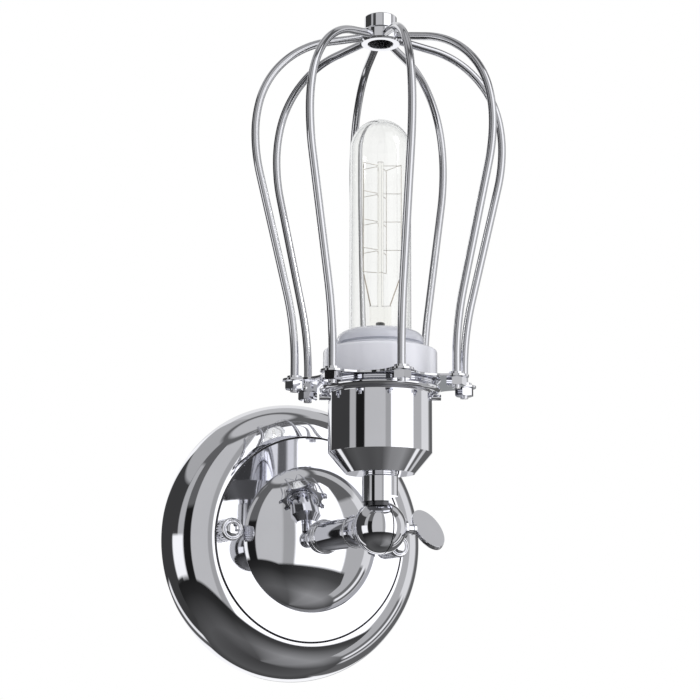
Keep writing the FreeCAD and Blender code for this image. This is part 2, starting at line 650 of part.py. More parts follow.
def make_holder():
    """Porcelain: spigot in the cup, wide band on the ring, grooved shoulder and mouth."""
    bottom = LEVELS["bracket"] + S["bracket_thick"]
    seat = S["cup_top"] + S["ring_thick"]
    band = seat + S["holder_band"]
    radius, shoulder, mouth = S["holder_radius"], S["shoulder_radius"], S["mouth_radius"]
    bend = band + S["shoulder_height"]
    top, floor = LEVELS["holder"], LEVELS["socket_floor"]
    shell = S["shell_radius"] + S["shell_wall"]
    round_in = top - bend
    body = turned([
        (4.2, bottom), (S["holder_spigot"] - 0.8, bottom), (S["holder_spigot"], bottom + 0.8),
        (S["holder_spigot"], seat), (radius, seat), (radius, band - 1.2),
        (radius - 1.2, band, 1.2, 1), (shoulder, band), (shoulder, band + 1.6),
        (shoulder - 0.5, band + 1.9), (shoulder - 0.5, band + 2.5), (shoulder, band + 2.8),
        (shoulder, bend), (shoulder - round_in + 0.6, top - 0.3, round_in, 1), (mouth + 0.5, top),
        (mouth, top - 0.5, 0.5, 1), (mouth, top - 3), (shell, top - 4), (shell, floor),
        (4.2, floor)], "Porcelain")
    holes = [cylinder(1.5, bottom - 1, LEVELS["socket_floor"] - 1.2, side * BRACKET_SCREW_X)
             for side in (1, -1)]
    node("lamp_holder", cut(body, *holes), "head")
    inner = S["shell_radius"]
    node("screw_shell", turned([
        (10.5, floor), (shell, floor), (shell, top - 4.6), (inner, top - 4.6),
        (inner, floor + 0.6), (10.5, floor + 0.6)]), "head")
    spring = [
        block((-9, 5), (-2.5, 2.5), (floor, floor + 0.6)),
        block((-4, 4), (-2.5, 2.5), (LEVELS["tip"] - 0.65, LEVELS["tip"] - 0.05)),
        block((-4, -3.4), (-2.5, 2.5), (floor, LEVELS["tip"] - 0.05))]
    node("centre_contact", fuse(*spring), "head")


# ---------------------------------------------------------------- cage

def make_cage_ring():
    """Scalloped ring: concave valleys tangent to eight round lobes."""
    low, high = S["cup_top"], S["cup_top"] + S["ring_thick"]
    foot, lobe, valley = S["foot_radius"], S["lobe_radius"], S["ring_valley"]
    along, across = foot * math.cos(math.pi / 8), foot * math.sin(math.pi / 8)
    gap = along - valley
    scoop = (gap * gap + across * across - lobe * lobe) / (2 * (lobe + gap))
    tangent = lobe / (lobe + scoop)
    centre = valley + scoop
    edge_x = foot + (centre * math.cos(math.pi / 8) - foot) * tangent
    edge_y = centre * math.sin(math.pi / 8) * tangent
    disc = cylinder(root(edge_x * edge_x + edge_y * edge_y), low, high)
    scoops, lobes, holes = [], [], [cylinder(S["ring_hole"], low - 1, high + 1)]
    for step in range(8):
        x, y = polar(centre, 45.0 * step + 22.5)
        scoops.append(cylinder(scoop, low - 1, high + 1, x, y))
        x, y = polar(foot, 45.0 * step)
        lobes.append(cylinder(lobe, low, high, x, y))
        holes.append(cylinder(S["wire_radius"] + S["wire_fit"], low - 1, high + 1, x, y))
    ring = cut(fuse(cut(disc, *scoops), *lobes), *holes)
    node("cage_ring", ring, "head", turn=-90.0 - CAGE_TURN)


CAGE_TURN = DRIVING["cage_turn"]


def make_cage_nuts():
    top = S["cup_top"]
    bottom = top - S["nut_height"]
    nuts = []
    for step in range(8):
        x, y = polar(S["foot_radius"], 45.0 * step)
        body = hexagon(S["nut_flats"], bottom, top, x, y, turn=17.0 * step)
        nuts.append(cut(body, cylinder(S["wire_radius"] + S["wire_fit"], bottom - 1, top + 1, x, y)))
    node("cage_nuts", group(*nuts), "head", turn=-90.0 - CAGE_TURN)


def wire_route():
    """Foot, slow outward bend, straight run, waist bend, crown in two bends, run to the hub."""
    foot, low = S["foot_radius"], LEVELS["foot_bend"]
    wide, level = S["cage_reach"], LEVELS["cage_reach"]
    bends = S["foot_bend"] + S["waist_bend"]
    across, along = wide - foot, level - low
    run = root((across - bends) * (across - bends) + along * along - bends * bends)
    whole = bends * bends + run * run
    tilt_sine = (bends * along - run * (bends - across)) / whole
    tilt_cosine = (bends * (bends - across) + run * along) / whole
    first = (foot + S["foot_bend"] * (1 - tilt_cosine), low + S["foot_bend"] * tilt_sine)
    second = (wide - S["waist_bend"] * (1 - tilt_cosine), level - S["waist_bend"] * tilt_sine)
    side, bend, turn, slope = (S[key] for key in ("side_bend", "crown_bend", "side_turn", "crown_slope"))
    knee = (wide - side * (1 - cosine(turn)), level + side * sine(turn))
    top = (wide - side + (side - bend) * cosine(turn) + bend * sine(slope),
           level + (side - bend) * sine(turn) + bend * cosine(slope))
    seat = S["wire_seat"]
    end = (seat, top[1] + (top[0] - seat) * sine(slope) / cosine(slope))
    return [
        (foot, LEVELS["wire_foot"]), (foot, low), (*first, S["foot_bend"], -1), second,
        (wide, level, S["waist_bend"], 1), (*knee, side, 1), (*top, bend, 1), end]


def make_cage_wires():
    seat = S["cup_top"] + S["ring_thick"]
    for step in range(8):
        body = doc.addObject("PartDesign::Body", "Wire")
        route = sketch_in(body, "XZ_Plane", "Route")
        draw(route, wire_route(), closed=False)
        section = sketch_in(body, "XY_Plane", "Section", LEVELS["wire_foot"])
        circle_at(section, S["foot_radius"], S["wire_radius"])
        pipe = body.newObject("PartDesign::AdditivePipe", "Pipe")
        pipe.Profile = section
        pipe.Spine = (route, [])
        rim = sketch_in(body, "XY_Plane", "Rim", seat)
        circle_at(rim, S["foot_radius"], S["foot_collar"])
        pad = body.newObject("PartDesign::Pad", "Collar")
        pad.Profile = rim
        pad.setExpression("Length", S["collar_high"].text)
        body.Tip = pad
        node(f"cage_wire_{step + 1}", body, "head", turn=-90.0 - CAGE_TURN - 45.0 * step)


def circle_at(sketch, x, radius):
    """Circle on the sketch's X axis, bound in place and radius."""
    circle = Part.Circle(FreeCAD.Vector(x.value, 0, 0), FreeCAD.Vector(0, 0, 1), radius.value)
    sketch.addGeometry([circle], False)
    sketch.addConstraint([
        Sketcher.Constraint("DistanceX", -1, 1, 0, 3, x.value),
        Sketcher.Constraint("PointOnObject", 0, 3, -1),
        Sketcher.Constraint("Radius", 0, radius.value)])
    sketch.setExpression("Constraints[0]", x.text)
    sketch.setExpression("Constraints[2]", radius.text)


def make_hub():
    level = wire_route()[-1][1]
    radius, low, high = S["hub_radius"], level - S["hub_under"], level + S["hub_over"]
    bore, cap_top = S["hub_bore"], high + S["cap_height"]
    body = turned([
        (bore + 0.4, low), (radius - 0.8, low), (radius, low + 0.8), (radius, high - 0.8),
        (radius - 0.8, high), (bore, high), (bore, low + 0.4)], "Hub")
    down = FreeCAD.Rotation(FreeCAD.Vector(0, 1, 0), S["crown_slope"].value)
    holes = []
    for step in range(8):
        x, y = polar(S["wire_seat"], 45.0 * step)
        hole = bind(doc.addObject("Part::Cylinder", "Hole"),
                    Radius=S["wire_radius"] + S["wire_fit"], Height=radius)
        holes.append(settle(hole, x, y, level, spin(45.0 * step) * down * lying(0)))
    node("cage_hub", cut(body, *holes), "head", turn=-90.0 - CAGE_TURN)
    stem = bore - S["thread_fit"]
    node("hub_cap", turned([
        (0, high - 1.1), (stem, high - 1.1), (stem, high), (S["cap_neck"], high),
        (S["cap_neck"], high + 0.4), (S["cap_radius"] - 0.3, high + 0.4),
        (S["cap_radius"], high + 0.7), (S["cap_radius"], cap_top - 0.4),
        (S["cap_radius"] - 0.4, cap_top), (0, cap_top)]), "head")


# ---------------------------------------------------------------- bulb

def make_bulb():
    radius, wall = S["glass_radius"], S["glass_wall"]
    top, joint = LEVELS["glass"], LEVELS["base"]
    neck = radius - 0.9
    low = joint - 9
    dome = top - radius
    node("bulb_glass", turned([
        (neck, low), (neck, joint - 0.2), (radius, joint + 1.0), (radius, dome),
        (0, top, radius, 1), (0, top - wall), (radius - wall, dome, radius - wall, -1),
        (radius - wall, joint + 1.2), (neck - wall, joint), (neck - wall, low)], "Glass"), "head")
    base = S["base_radius"]
    tip = LEVELS["tip"]
    shell_low = tip + 4.0
    node("bulb_base", turned([
        (base - 1.2, shell_low), (base, shell_low + 1.2), (base, joint - 0.4), (base - 0.3, joint - 0.2),
        (neck + 0.05, joint - 0.2), (neck + 0.05, shell_low + 1.6), (neck - 0.5, shell_low + 0.4),
        (base - 1.6, shell_low)], "Base"), "head")
    node("bulb_insulator", turned([
        (4.2, tip + 0.6), (8.0, tip + 1.2), (base - 1.7, shell_low), (neck - 0.5, shell_low + 0.4),
        (neck - 0.5, shell_low + 1.4), (4.2, shell_low + 1.4)], "Insulator"), "head")
    node("bulb_tip", turned([
        (0, tip), (2.6, tip), (4.2, tip + 0.6), (4.2, tip + 1.6), (0, tip + 1.6)], "Tip"), "head")
    make_bulb_inside(low, neck - wall)


def make_bulb_inside(low, flare):
    face = -S["bulb_face"].value
    press = LEVELS["press"]
    skirt = turned([
        (0, low + 1), (flare - 0.05, low + 1), (flare - 0.05, low + 2), (4.6, low + 5),
        (4.4, press - 9), (0, press - 9)], "Stem")
    pinch = block((-4.6, 4.6), (-1.6, 1.6), (press - 10, press))
    rod = cylinder(S["rod_radius"], press - 1, LEVELS["rod"] + 1)
    node("bulb_stem", fuse(skirt, pinch, rod), "head", turn=face)
    high = LEVELS["filament_high"]
    circle = S["filament_circle"]
    arms = []
    for level in range(4):
        z = high - S["support_pitch"] * level
        for angle in ARM_TURNS:
            x, y = polar(S["rod_radius"] + 0.02, angle)
            arm = bind(doc.addObject("Part::Cylinder", "Arm"), Radius=0.12,
                       Height=circle - S["rod_radius"] - 0.02)
            arms.append(settle(arm, x, y, z, lying(angle)))
    node("filament_supports", group(*arms), "head", turn=face)
    node("lead_wires", make_leads(), "head", turn=face)
    node("filament", make_filament(), "head", turn=face)


ARM_TURNS = (0, 72, 143, 215)


def make_leads():
    """Two stiff wires from the pinch out to the filament's ends."""
    leads = doc.addObject("Part::Feature", "Leads")
    low, press = LEVELS["filament_low"].value, LEVELS["press"].value
    reach = S["filament_circle"].value - 0.2
    shapes = []
    for side, angle in ((1, ARM_TURNS[0]), (-1, ARM_TURNS[-1])):
        start = FreeCAD.Vector(side * 4.0, 0, press + 0.02)
        end = FreeCAD.Vector(*polar(reach, angle), low - 0.5)
        shapes.append(Part.makeCylinder(0.25, (end - start).Length, start, end - start))
    leads.Shape = Part.makeCompound(shapes)
    return leads


def make_filament():
    """Fine wire from one lead to the other: up, across, down, across, up, across, down."""
    filament = doc.addObject("Part::Feature", "Filament")
    low, high = LEVELS["filament_low"].value, LEVELS["filament_high"].value + 0.4
    reach = S["filament_circle"].value + 0.26
    first, second, third, fourth = ARM_TURNS
    stops = ((first, low), (first, high), (second, high), (second, low + 3), (third, low + 3),
             (third, high), (fourth, high), (fourth, low))
    route = [FreeCAD.Vector(*polar(reach, angle), level) for angle, level in stops]
    shapes = [Part.makeSphere(0.12, corner) for corner in route]
    for start, end in zip(route, route[1:]):
        shapes.append(Part.makeCylinder(0.12, (end - start).Length, start, end - start))
    filament.Shape = shapes[0].multiFuse(shapes[1:])
    return filament


make_wall_plate()
make_dome_cover()
make_mounting_bar()
make_bar_hardware()
make_thumb_nuts()
make_swivel_base(make_arm())
make_friction_washer()
make_swivel_head()
make_wing_screw()
make_cup()
make_cup_hardware()
make_holder()
make_cage_ring()
make_cage_nuts()
make_cage_wires()
make_hub()
make_bulb()
doc.recompute()

for item in doc.Objects:
    if "Invalid" in item.State or "Error" in item.State:
        raise RuntimeError(f"{item.Label} of {item.TypeId} did not recompute: {item.State}")
for item in nodes:
    if item.Shape.isNull() or not item.Shape.isValid() or not item.Shape.Solids:
        raise RuntimeError(f"{item.Label} has no valid solid")
    item.Shape.exportStep(f"parts/{item.Label}.step")
    print(item.Label, len(item.Shape.Solids), round(item.Shape.Volume, 1))
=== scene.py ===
import json
import math

import bpy
from mathutils import Matrix, Vector


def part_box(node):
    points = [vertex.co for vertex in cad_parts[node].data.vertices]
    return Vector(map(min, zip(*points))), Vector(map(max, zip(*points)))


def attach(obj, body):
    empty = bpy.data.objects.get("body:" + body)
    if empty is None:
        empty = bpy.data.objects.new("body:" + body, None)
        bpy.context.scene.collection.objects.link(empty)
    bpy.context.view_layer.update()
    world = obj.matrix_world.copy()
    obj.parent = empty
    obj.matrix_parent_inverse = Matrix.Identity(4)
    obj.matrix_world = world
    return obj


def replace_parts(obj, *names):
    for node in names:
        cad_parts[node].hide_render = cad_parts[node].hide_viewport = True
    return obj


# Looks of the cage wall light. Every outline below is in millimetres in one of three frames:
# "wall" (Z leaves the wall), "head" (origin at the ball centre, upright) and "pivot" (origin at
# the ball centre, Z along +X). The frame's nodes give the sizes that outlines start from.

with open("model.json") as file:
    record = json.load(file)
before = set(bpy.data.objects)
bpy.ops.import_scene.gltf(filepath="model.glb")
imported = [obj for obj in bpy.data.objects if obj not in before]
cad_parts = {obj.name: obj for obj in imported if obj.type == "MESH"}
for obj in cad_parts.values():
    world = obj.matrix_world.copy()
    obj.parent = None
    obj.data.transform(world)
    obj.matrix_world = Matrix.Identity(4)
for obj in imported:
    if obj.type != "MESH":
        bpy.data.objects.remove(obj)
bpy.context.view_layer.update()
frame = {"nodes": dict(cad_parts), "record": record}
NODES = frame["nodes"]
MM = 0.001


def span(node):
    """Low and high corner of a node, in millimetres."""
    low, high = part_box(node)
    return low / MM, high / MM


REACH = -(span("hub_cap")[0].y + span("hub_cap")[1].y) / 2  # from the wall to the ball centre
FRAMES = {
    "wall": Matrix.Rotation(math.radians(90), 4, "X"),
    "head": Matrix.Translation((0, -REACH, 0)),
    "pivot": Matrix.Translation((0, -REACH, 0)) @ Matrix.Rotation(math.radians(90), 4, "Y"),
}
SEGMENTS = 128  # sides of a turned piece
ARC_STEP, ARC_CHORD = math.radians(5), 2.0  # largest steps along an arc
SMOOTH_TURN = math.radians(9)  # smaller corners than this stay as they are
EDGE = 0.16  # round edge of a sharp corner
SAME_POINT = 1e-4


# ------------------------------------------------------------------ materials

class Nodes:
    """Small helper round one node tree."""

    def __init__(self, tree):
        self.tree = tree
        tree.nodes.clear()

    def add(self, kind, inputs=None, **settings):
        made = self.tree.nodes.new(kind)
        for key, value in settings.items():
            setattr(made, key, value)
        for key, value in (inputs or {}).items():
            if isinstance(value, bpy.types.NodeSocket):
                self.tree.links.new(value, made.inputs[key])
            else:
                made.inputs[key].default_value = value
        return made

    def math(self, operation, first, second=0.0):
        return self.add("ShaderNodeMath", {0: first, 1: second}, operation=operation).outputs[0]

    def mix(self, factor, first, second):
        made = self.add("ShaderNodeMix", data_type="RGBA", clamp_factor=True)
        for index, value in ((0, factor), (6, first), (7, second)):
            socket = made.inputs[index]
            if isinstance(value, bpy.types.NodeSocket):
                self.tree.links.new(value, socket)
            else:
                socket.default_value = value
        return made.outputs[2]

    def noise(self, scale, detail=3.0, stretch=(1, 1, 1)):
        place = self.add("ShaderNodeTexCoord")
        moved = self.add("ShaderNodeMapping", {"Vector": place.outputs["Object"], "Scale": stretch})
        made = self.add(
            "ShaderNodeTexNoise", {"Vector": moved.outputs[0], "Scale": scale, "Detail": detail})
        return made.outputs["Fac"]

    def step(self, value, level, soft):
        """0 below the level, 1 above it."""
        if isinstance(level, bpy.types.NodeSocket):
            value, level = self.math("SUBTRACT", value, level), 0.0
        limits = {"Value": value, "From Min": level - soft, "From Max": level + soft}
        return self.add("ShaderNodeMapRange", limits).outputs["Result"]

    def ramp(self, factor, stops):
        """Colour ramp from (position, colour) stops; a single number is a grey."""
        made = self.add("ShaderNodeValToRGB", {"Fac": factor})
        ramp = made.color_ramp
        while len(ramp.elements) < len(stops):
            ramp.elements.new(0.5)
        for element, (position, value) in zip(ramp.elements, stops):
            element.position = position
            element.color = (*value, 1) if isinstance(value, tuple) else (value, value, value, 1)
        return made.outputs["Color"]

    def between(self, factor, low, high):
        made = self.add("ShaderNodeMapRange", {"Value": factor, "To Min": low, "To Max": high})
        return made.outputs["Result"]

    def shade(self):
        """Painted shade in recesses and on the porcelain's shoulder, the wires' duller finish and
        the dark stem press, written on the meshes; 0 where a mesh has none.
        """
        return self.add("ShaderNodeAttribute", attribute_name="shade").outputs["Fac"]

    def bump(self, height, strength, distance):
        made = self.add(
            "ShaderNodeBump", {"Height": height, "Strength": strength, "Distance": distance})
        return made.outputs["Normal"]


def surface(name, **inputs):
    """Principled material; returns it with its node helper and its shader."""
    material = bpy.data.materials.new(name)
    material.use_nodes = True
    nodes = Nodes(material.node_tree)
    inputs = {key.replace("_", " "): value for key, value in inputs.items()}
    shader = nodes.add("ShaderNodeBsdfPrincipled", inputs)
    nodes.add("ShaderNodeOutputMaterial", {"Surface": shader.outputs[0]})
    return material, nodes, shader


def connect(nodes, shader, **sockets):
    """Links outputs to the shader's inputs by name."""
    for key, value in sockets.items():
        nodes.tree.links.new(value, shader.inputs[key.replace("_", " ")])


def polished_chrome():
    """Plated and buffed: nearly mirror, with faint haze and a soft waviness of the spun metal."""
    material, nodes, shader = surface("chrome", Metallic=1.0)
    haze = nodes.noise(55, 4)
    smear = nodes.noise(420, 2)
    rough = nodes.math("ADD", nodes.between(haze, 0.012, 0.05), nodes.between(smear, 0.0, 0.018))
    rough = nodes.math("ADD", rough, nodes.math("MULTIPLY", nodes.shade(), 0.2))
    tint = nodes.ramp(haze, [(0.3, (0.885, 0.89, 0.935)), (0.7, (0.925, 0.93, 0.975))])
    # Painted shade: the shade attribute darkens the tint in recesses (neck root, plate bead, hub
    # thread); on the wires it gives an even duller finish.
    tint = nodes.mix(nodes.shade(), tint, (0.025, 0.025, 0.03, 1))
    connect(nodes, shader, Base_Color=tint, Roughness=rough,
            Normal=nodes.bump(nodes.noise(28, 1), 0.12, 0.0008))
    return material


def plain_metal(name, light, dark, rough):
    """Plated or bare metal with a fine grain and dull patches."""
    material, nodes, shader = surface(name, Metallic=1.0)
    patches = nodes.noise(140, 5)
    grain = nodes.noise(2600, 2)
    tint = nodes.ramp(patches, [(0.32, dark), (0.68, light)])
    connect(nodes, shader, Base_Color=tint,
            Roughness=nodes.between(patches, rough - 0.08, rough + 0.1),
            Normal=nodes.bump(grain, 0.25, 0.00003))
    return material


def porcelain_glaze():
    """White glazed porcelain: soft body under a clear coat with slight orange peel."""
    material, nodes, shader = surface(
        "porcelain", Subsurface_Weight=0.1, Subsurface_Scale=0.001, Subsurface_Radius=(1, 1, 1),
        Coat_Weight=0.8, Coat_Roughness=0.03)
    cloud = nodes.noise(90, 4)
    speck = nodes.noise(1500, 2)
    body = nodes.ramp(cloud, [(0.25, (0.83, 0.84, 0.90)), (0.75, (0.88, 0.885, 0.94))])
    # Painted shade: the shade attribute darkens the porcelain's shoulder and its groove.
    body = nodes.mix(nodes.shade(), body, (0.30, 0.32, 0.38, 1))
    connect(nodes, shader, Base_Color=body, Roughness=nodes.between(speck, 0.14, 0.24),
            Normal=nodes.bump(nodes.noise(260, 2), 0.15, 0.00012))
    return material


def clear_glass(name, tint):
    """Thin drawn glass with faint cords in it, and painted shade, bluish grey, where it is seen at
    a slant.
    """
    material, nodes, shader = surface(name, Transmission_Weight=1.0, IOR=1.5, Roughness=0.0)
    cords = nodes.noise(60, 3, (1, 1, 0.15))
    shade = nodes.ramp(cords, [(0.3, tint), (0.7, tuple(min(1.0, c * 1.01) for c in tint))])
    # Painted shade: bluish grey on the glass where it is seen at a slant.
    slant = nodes.add("ShaderNodeLayerWeight", {"Blend": 0.5}).outputs["Facing"]
    slant = nodes.ramp(slant, [(0.45, 0), (0.8, 0.35), (1.0, 1)])
    shade = nodes.mix(slant, shade, (0.36, 0.40, 0.44, 1))
    shade = nodes.mix(nodes.shade(), shade, (0.01, 0.01, 0.012, 1))
    connect(nodes, shader, Base_Color=shade, Normal=nodes.bump(cords, 0.06, 0.0004))
    return material


def moulded_plastic(name, light, dark, rough):
    """Moulded material with a fine grain, used for plastic, fibre and black glass."""
    material, nodes, shader = surface(name)
    patches = nodes.noise(300, 4)
    connect(nodes, shader, Base_Color=nodes.ramp(patches, [(0.3, dark), (0.7, light)]),
            Roughness=nodes.between(patches, rough - 0.08, rough + 0.08),
            Normal=nodes.bump(nodes.noise(3000, 2), 0.2, 0.00004))
    return material


MATERIALS = {
    "chrome": polished_chrome(),
    "zinc_steel": plain_metal("zinc_steel", (0.72, 0.73, 0.75), (0.55, 0.56, 0.58), 0.34),
    "brass": plain_metal("brass", (0.83, 0.66, 0.34), (0.70, 0.52, 0.24), 0.28),
    "nickel": plain_metal("nickel", (0.78, 0.76, 0.72), (0.62, 0.60, 0.56), 0.25),
    "solder": plain_metal("solder", (0.72, 0.72, 0.73), (0.55, 0.55, 0.56), 0.42),
    "tungsten": plain_metal("tungsten", (0.62, 0.57, 0.49), (0.46, 0.42, 0.36), 0.5),
    "lead_metal": plain_metal("lead_metal", (0.55, 0.48, 0.40), (0.38, 0.33, 0.28), 0.4),
    "terminal_plastic": moulded_plastic(
        "terminal_plastic", (0.86, 0.86, 0.84), (0.80, 0.80, 0.78), 0.45),
    "washer_fibre": moulded_plastic("washer_fibre", (0.10, 0.10, 0.11), (0.06, 0.06, 0.065), 0.6),
    "black_glass": moulded_plastic("black_glass", (0.03, 0.03, 0.035), (0.015, 0.015, 0.018), 0.15),
    "porcelain": porcelain_glaze(),
    "clear_glass": clear_glass("clear_glass", (0.967, 0.970, 0.962)),
    "stem_glass": clear_glass("stem_glass", (0.95, 0.945, 0.92)),
}
SLOT_OF = {row["node"]: row["material_slot"] for row in frame["record"]["subparts"]}
for node_name, cad_node in NODES.items():
    cad_node.data.materials.clear()
    cad_node.data.materials.append(MATERIALS[SLOT_OF[node_name]])


# ------------------------------------------------------------------ outlines and meshes

def arc_points(start, end, radius, side):
    """Samples (point, direction) along an arc; side +1 has its centre left of the way."""
    chord = end - start
    half = chord.length / 2
    rise = math.sqrt(max(radius * radius - half * half, 0))
    left = Vector((-chord.y, chord.x)).normalized()
    centre = (start + end) / 2 + left * rise * side
    first = math.atan2(start.y - centre.y, start.x - centre.x)
    turn = (math.atan2(end.y - centre.y, end.x - centre.x) - first) * side % (2 * math.pi)
    count = max(2, math.ceil(turn / ARC_STEP), math.ceil(turn * radius / ARC_CHORD))
    samples = []
    for index in range(count + 1):
        angle = first + side * turn * index / count
        out = Vector((math.cos(angle), math.sin(angle)))
        samples.append((centre + out * radius, Vector((-out.y, out.x)) * side))
    return samples


def outline(points, edge=EDGE, closed=True):
    """Samples (x, y, normal x, normal y) along an outline that runs counter-clockwise.
    A point is (x, y) after a straight run or (x, y, radius, side) after an arc; sharp corners
    get a small round edge, so that polished metal catches the light on them."""
    runs = []
    for start, end in zip(points[-1:] + points[:-1], points) if closed else zip(points, points[1:]):
        first, last = Vector(start[:2]), Vector(end[:2])
        if (last - first).length < 1e-6 or (closed and abs(first.x) + abs(last.x) < 1e-6):
            continue
        if len(end) == 2:
            way = (last - first).normalized()
            runs.append([(first, way), (last, way)])
        else:
            runs.append(arc_points(first, last, end[2], end[3]))
    samples = []
    for index, run in enumerate(runs):
        after = runs[(index + 1) % len(runs)]
        (corner, way), next_way = run[-1], after[0][1]
        turn = -way.angle_signed(next_way)
        apart = (after[0][0] - corner).length >= 1e-6 or (not closed and index == len(runs) - 1)
        if apart or abs(turn) < SMOOTH_TURN or edge <= 0:
            samples += run
            continue
        room = 0.4 * min((corner - run[0][0]).length, (after[-1][0] - after[0][0]).length)
        trim = min(edge * math.tan(abs(turn) / 2), edge * 2.5, room)
        samples += [s for s in run[:-1] if (s[0] - corner).length > trim]
        bend = trim / math.tan(abs(turn) / 2)
        start, end = corner - way * trim, corner + next_way * trim
        samples += arc_points(start, end, bend, 1 if turn > 0 else -1)
        after[0] = (end, next_way)
    merged = []
    for point, way in samples:
        if merged and (point - merged[-1][0]).length < SAME_POINT:
            merged[-1] = (point, (way + merged[-1][1]).normalized())
        else:
            merged.append((point, way))
    if closed and (merged[0][0] - merged[-1][0]).length < SAME_POINT:
        merged.pop()
    return [(point.x, point.y, way.y, -way.x) for point, way in merged]


def finish_mesh(name, node, vertices, faces, normals, place, shade=None):
    """Piece with its own normals, placed and put on the node's body; shade gives the shade
    attribute
    at a radius and height: painted shade in recesses, the wires' dullness."""
    mesh = bpy.data.meshes.new(name)
    mesh.from_pydata([tuple(v) for v in vertices], [], faces)
    if shade:
        written = mesh.attributes.new("shade", "FLOAT", "POINT")
        written.data.foreach_set("value", [shade(math.hypot(v[0], v[1]), v[2]) for v in vertices])
    mesh.transform(Matrix.Scale(MM, 4))
    mesh.materials.append(MATERIALS[SLOT_OF[node]])
    mesh.shade_smooth()
    mesh.normals_split_custom_set_from_vertices([tuple(n) for n in normals])
    thing = bpy.data.objects.new(name, mesh)
    bpy.context.scene.collection.objects.link(thing)
    in_metres = place.copy()
    in_metres.translation *= MM
    mesh.transform(in_metres)
    bodies = frame["record"]["behaviour"]["bodies"]
    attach(thing, next(body for body, members in bodies.items() if node in members))
    return thing


def circle(count):
    """Cosine and sine of evenly spaced angles round a full turn."""
    angles = [2 * math.pi * step / count for step in range(count)]
    return [(math.cos(angle), math.sin(angle)) for angle in angles]


def bands(first, second):
    """Quads between two closed loops of as many vertex numbers; doubled corners fall out."""
    after = [*range(1, len(first)), 0]
    quads = [(first[a], first[b], second[b], second[a]) for a, b in enumerate(after)]
    return [list(dict.fromkeys(quad)) for quad in quads]


def lathe(name, node, points, where, edge=EDGE, segments=SEGMENTS, place=None, reshape=None,
          shade=None):
    """Turned piece from an outline of (radius, height) points about the frame's Z."""
    vertices, normals, loops = [], [], []
    for radius, height, out, up in outline(points, edge):
        if radius < 1e-5:
            loops.append([len(vertices)] * segments)
            vertices.append((0, 0, height))
            normals.append((0, 0, 1 if up >= 0 else -1))
            continue
        loops.append(range(len(vertices), len(vertices) + segments))
        vertices += [(radius * cosine, radius * sine, height) for cosine, sine in circle(segments)]
        normals += [(out * cosine, out * sine, up) for cosine, sine in circle(segments)]
    faces = []
    for first, second in zip(loops, loops[1:] + loops[:1]):
        if first[0] != first[-1] or second[0] != second[-1]:
            faces += bands(first, second)
    if reshape:
        vertices = [reshape(Vector(v)) for v in vertices]
    place = FRAMES[where] @ (place or Matrix())
    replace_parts(finish_mesh(name, node, vertices, faces, normals, place, shade), node)


def tube(name, node, route, radius, where, place, sides, dull):
    """Round wire of an even dullness along an open outline in the frame's XZ plane."""
    vertices, normals, loops = [], [], []
    for x, z, nx, nz in outline(route, edge=0, closed=False):
        loops.append(list(range(len(vertices), len(vertices) + sides)))
        for cosine, sine in circle(sides):
            out = Vector((nx * cosine, sine, nz * cosine))
            vertices.append(Vector((x, 0, z)) + out * radius)
            normals.append(out)
    faces = [loops[0][::-1], loops[-1]]
    for first, second in zip(loops, loops[1:]):
        faces += bands(first, second)
    place = FRAMES[where] @ place
    thing = finish_mesh(name, node, vertices, faces, normals, place, lambda r, z: dull)
    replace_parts(thing, node)


def about_z(degrees):
    return Matrix.Rotation(math.radians(degrees), 4, "Z")


# ------------------------------------------------------------------ wall plate and cover

PLATE_RADIUS = span("wall_plate")[1].x
PLATE_DEPTH = -span("wall_plate")[0].y
PLATE_WALL = 1.2
RIM_BEND, RIM_SHOULDER, RIM_TILT = 22.5, math.radians(48), math.radians(9)
FACE_RADIUS, BEAD_WIDTH, BEAD_DEPTH = 45.7, 0.8, 0.6
PIPE_RADIUS = 5.0
PIPE_HOLE = PIPE_RADIUS + 0.2
# Painted shade in the bead round the plate's face.
BEAD_SHADE = 0.9


def rim_profile(inset):
    """Bends and points of the plate's rim, seen from outside at inset 0."""
    crest = (PLATE_DEPTH - RIM_BEND * math.cos(RIM_SHOULDER)) / (1 - math.cos(RIM_SHOULDER))
    first, second = RIM_BEND - inset, crest - inset
    centre = PLATE_RADIUS - RIM_BEND
    knee = (centre + first * math.sin(RIM_SHOULDER), first * math.cos(RIM_SHOULDER))
    crest_centre = centre - (crest - RIM_BEND) * math.sin(RIM_SHOULDER)
    end = (crest_centre + second * math.sin(RIM_TILT),
           PLATE_DEPTH - crest + second * math.cos(RIM_TILT))
    return first, second, (centre + first, 0), knee, end


def build_wall_plate():
    bend, crest, foot, knee, end = rim_profile(0)
    inner_bend, inner_crest, inner_foot, inner_knee, inner_end = rim_profile(PLATE_WALL)
    under, bead = PLATE_DEPTH - PLATE_WALL, FACE_RADIUS - BEAD_WIDTH

    # Painted shade in the bead round the plate's face.
    def bead_line(radius, height):
        on_bead = bead - 0.05 < radius < FACE_RADIUS + 0.01 and height > under
        return BEAD_SHADE if on_bead else 0.0

    lathe("plate", "wall_plate", [
        foot, (*knee, bend, 1), (*end, crest, 1), (FACE_RADIUS, PLATE_DEPTH - BEAD_DEPTH),
        (bead, PLATE_DEPTH), (bead - 0.1, PLATE_DEPTH), (PIPE_HOLE, PLATE_DEPTH),
        (PIPE_HOLE, under), (inner_end[0] - 1.0, under), inner_end,
        (*inner_knee, inner_crest, -1), (*inner_foot, inner_bend, -1)],
        "wall", segments=256, shade=bead_line)


DOME_EDGE, DOME_KNEE, DOME_WALL = 14.0, 24.0, 1.0
DOME_SLOPES = [math.radians(a) for a in (60, 50, 25)]


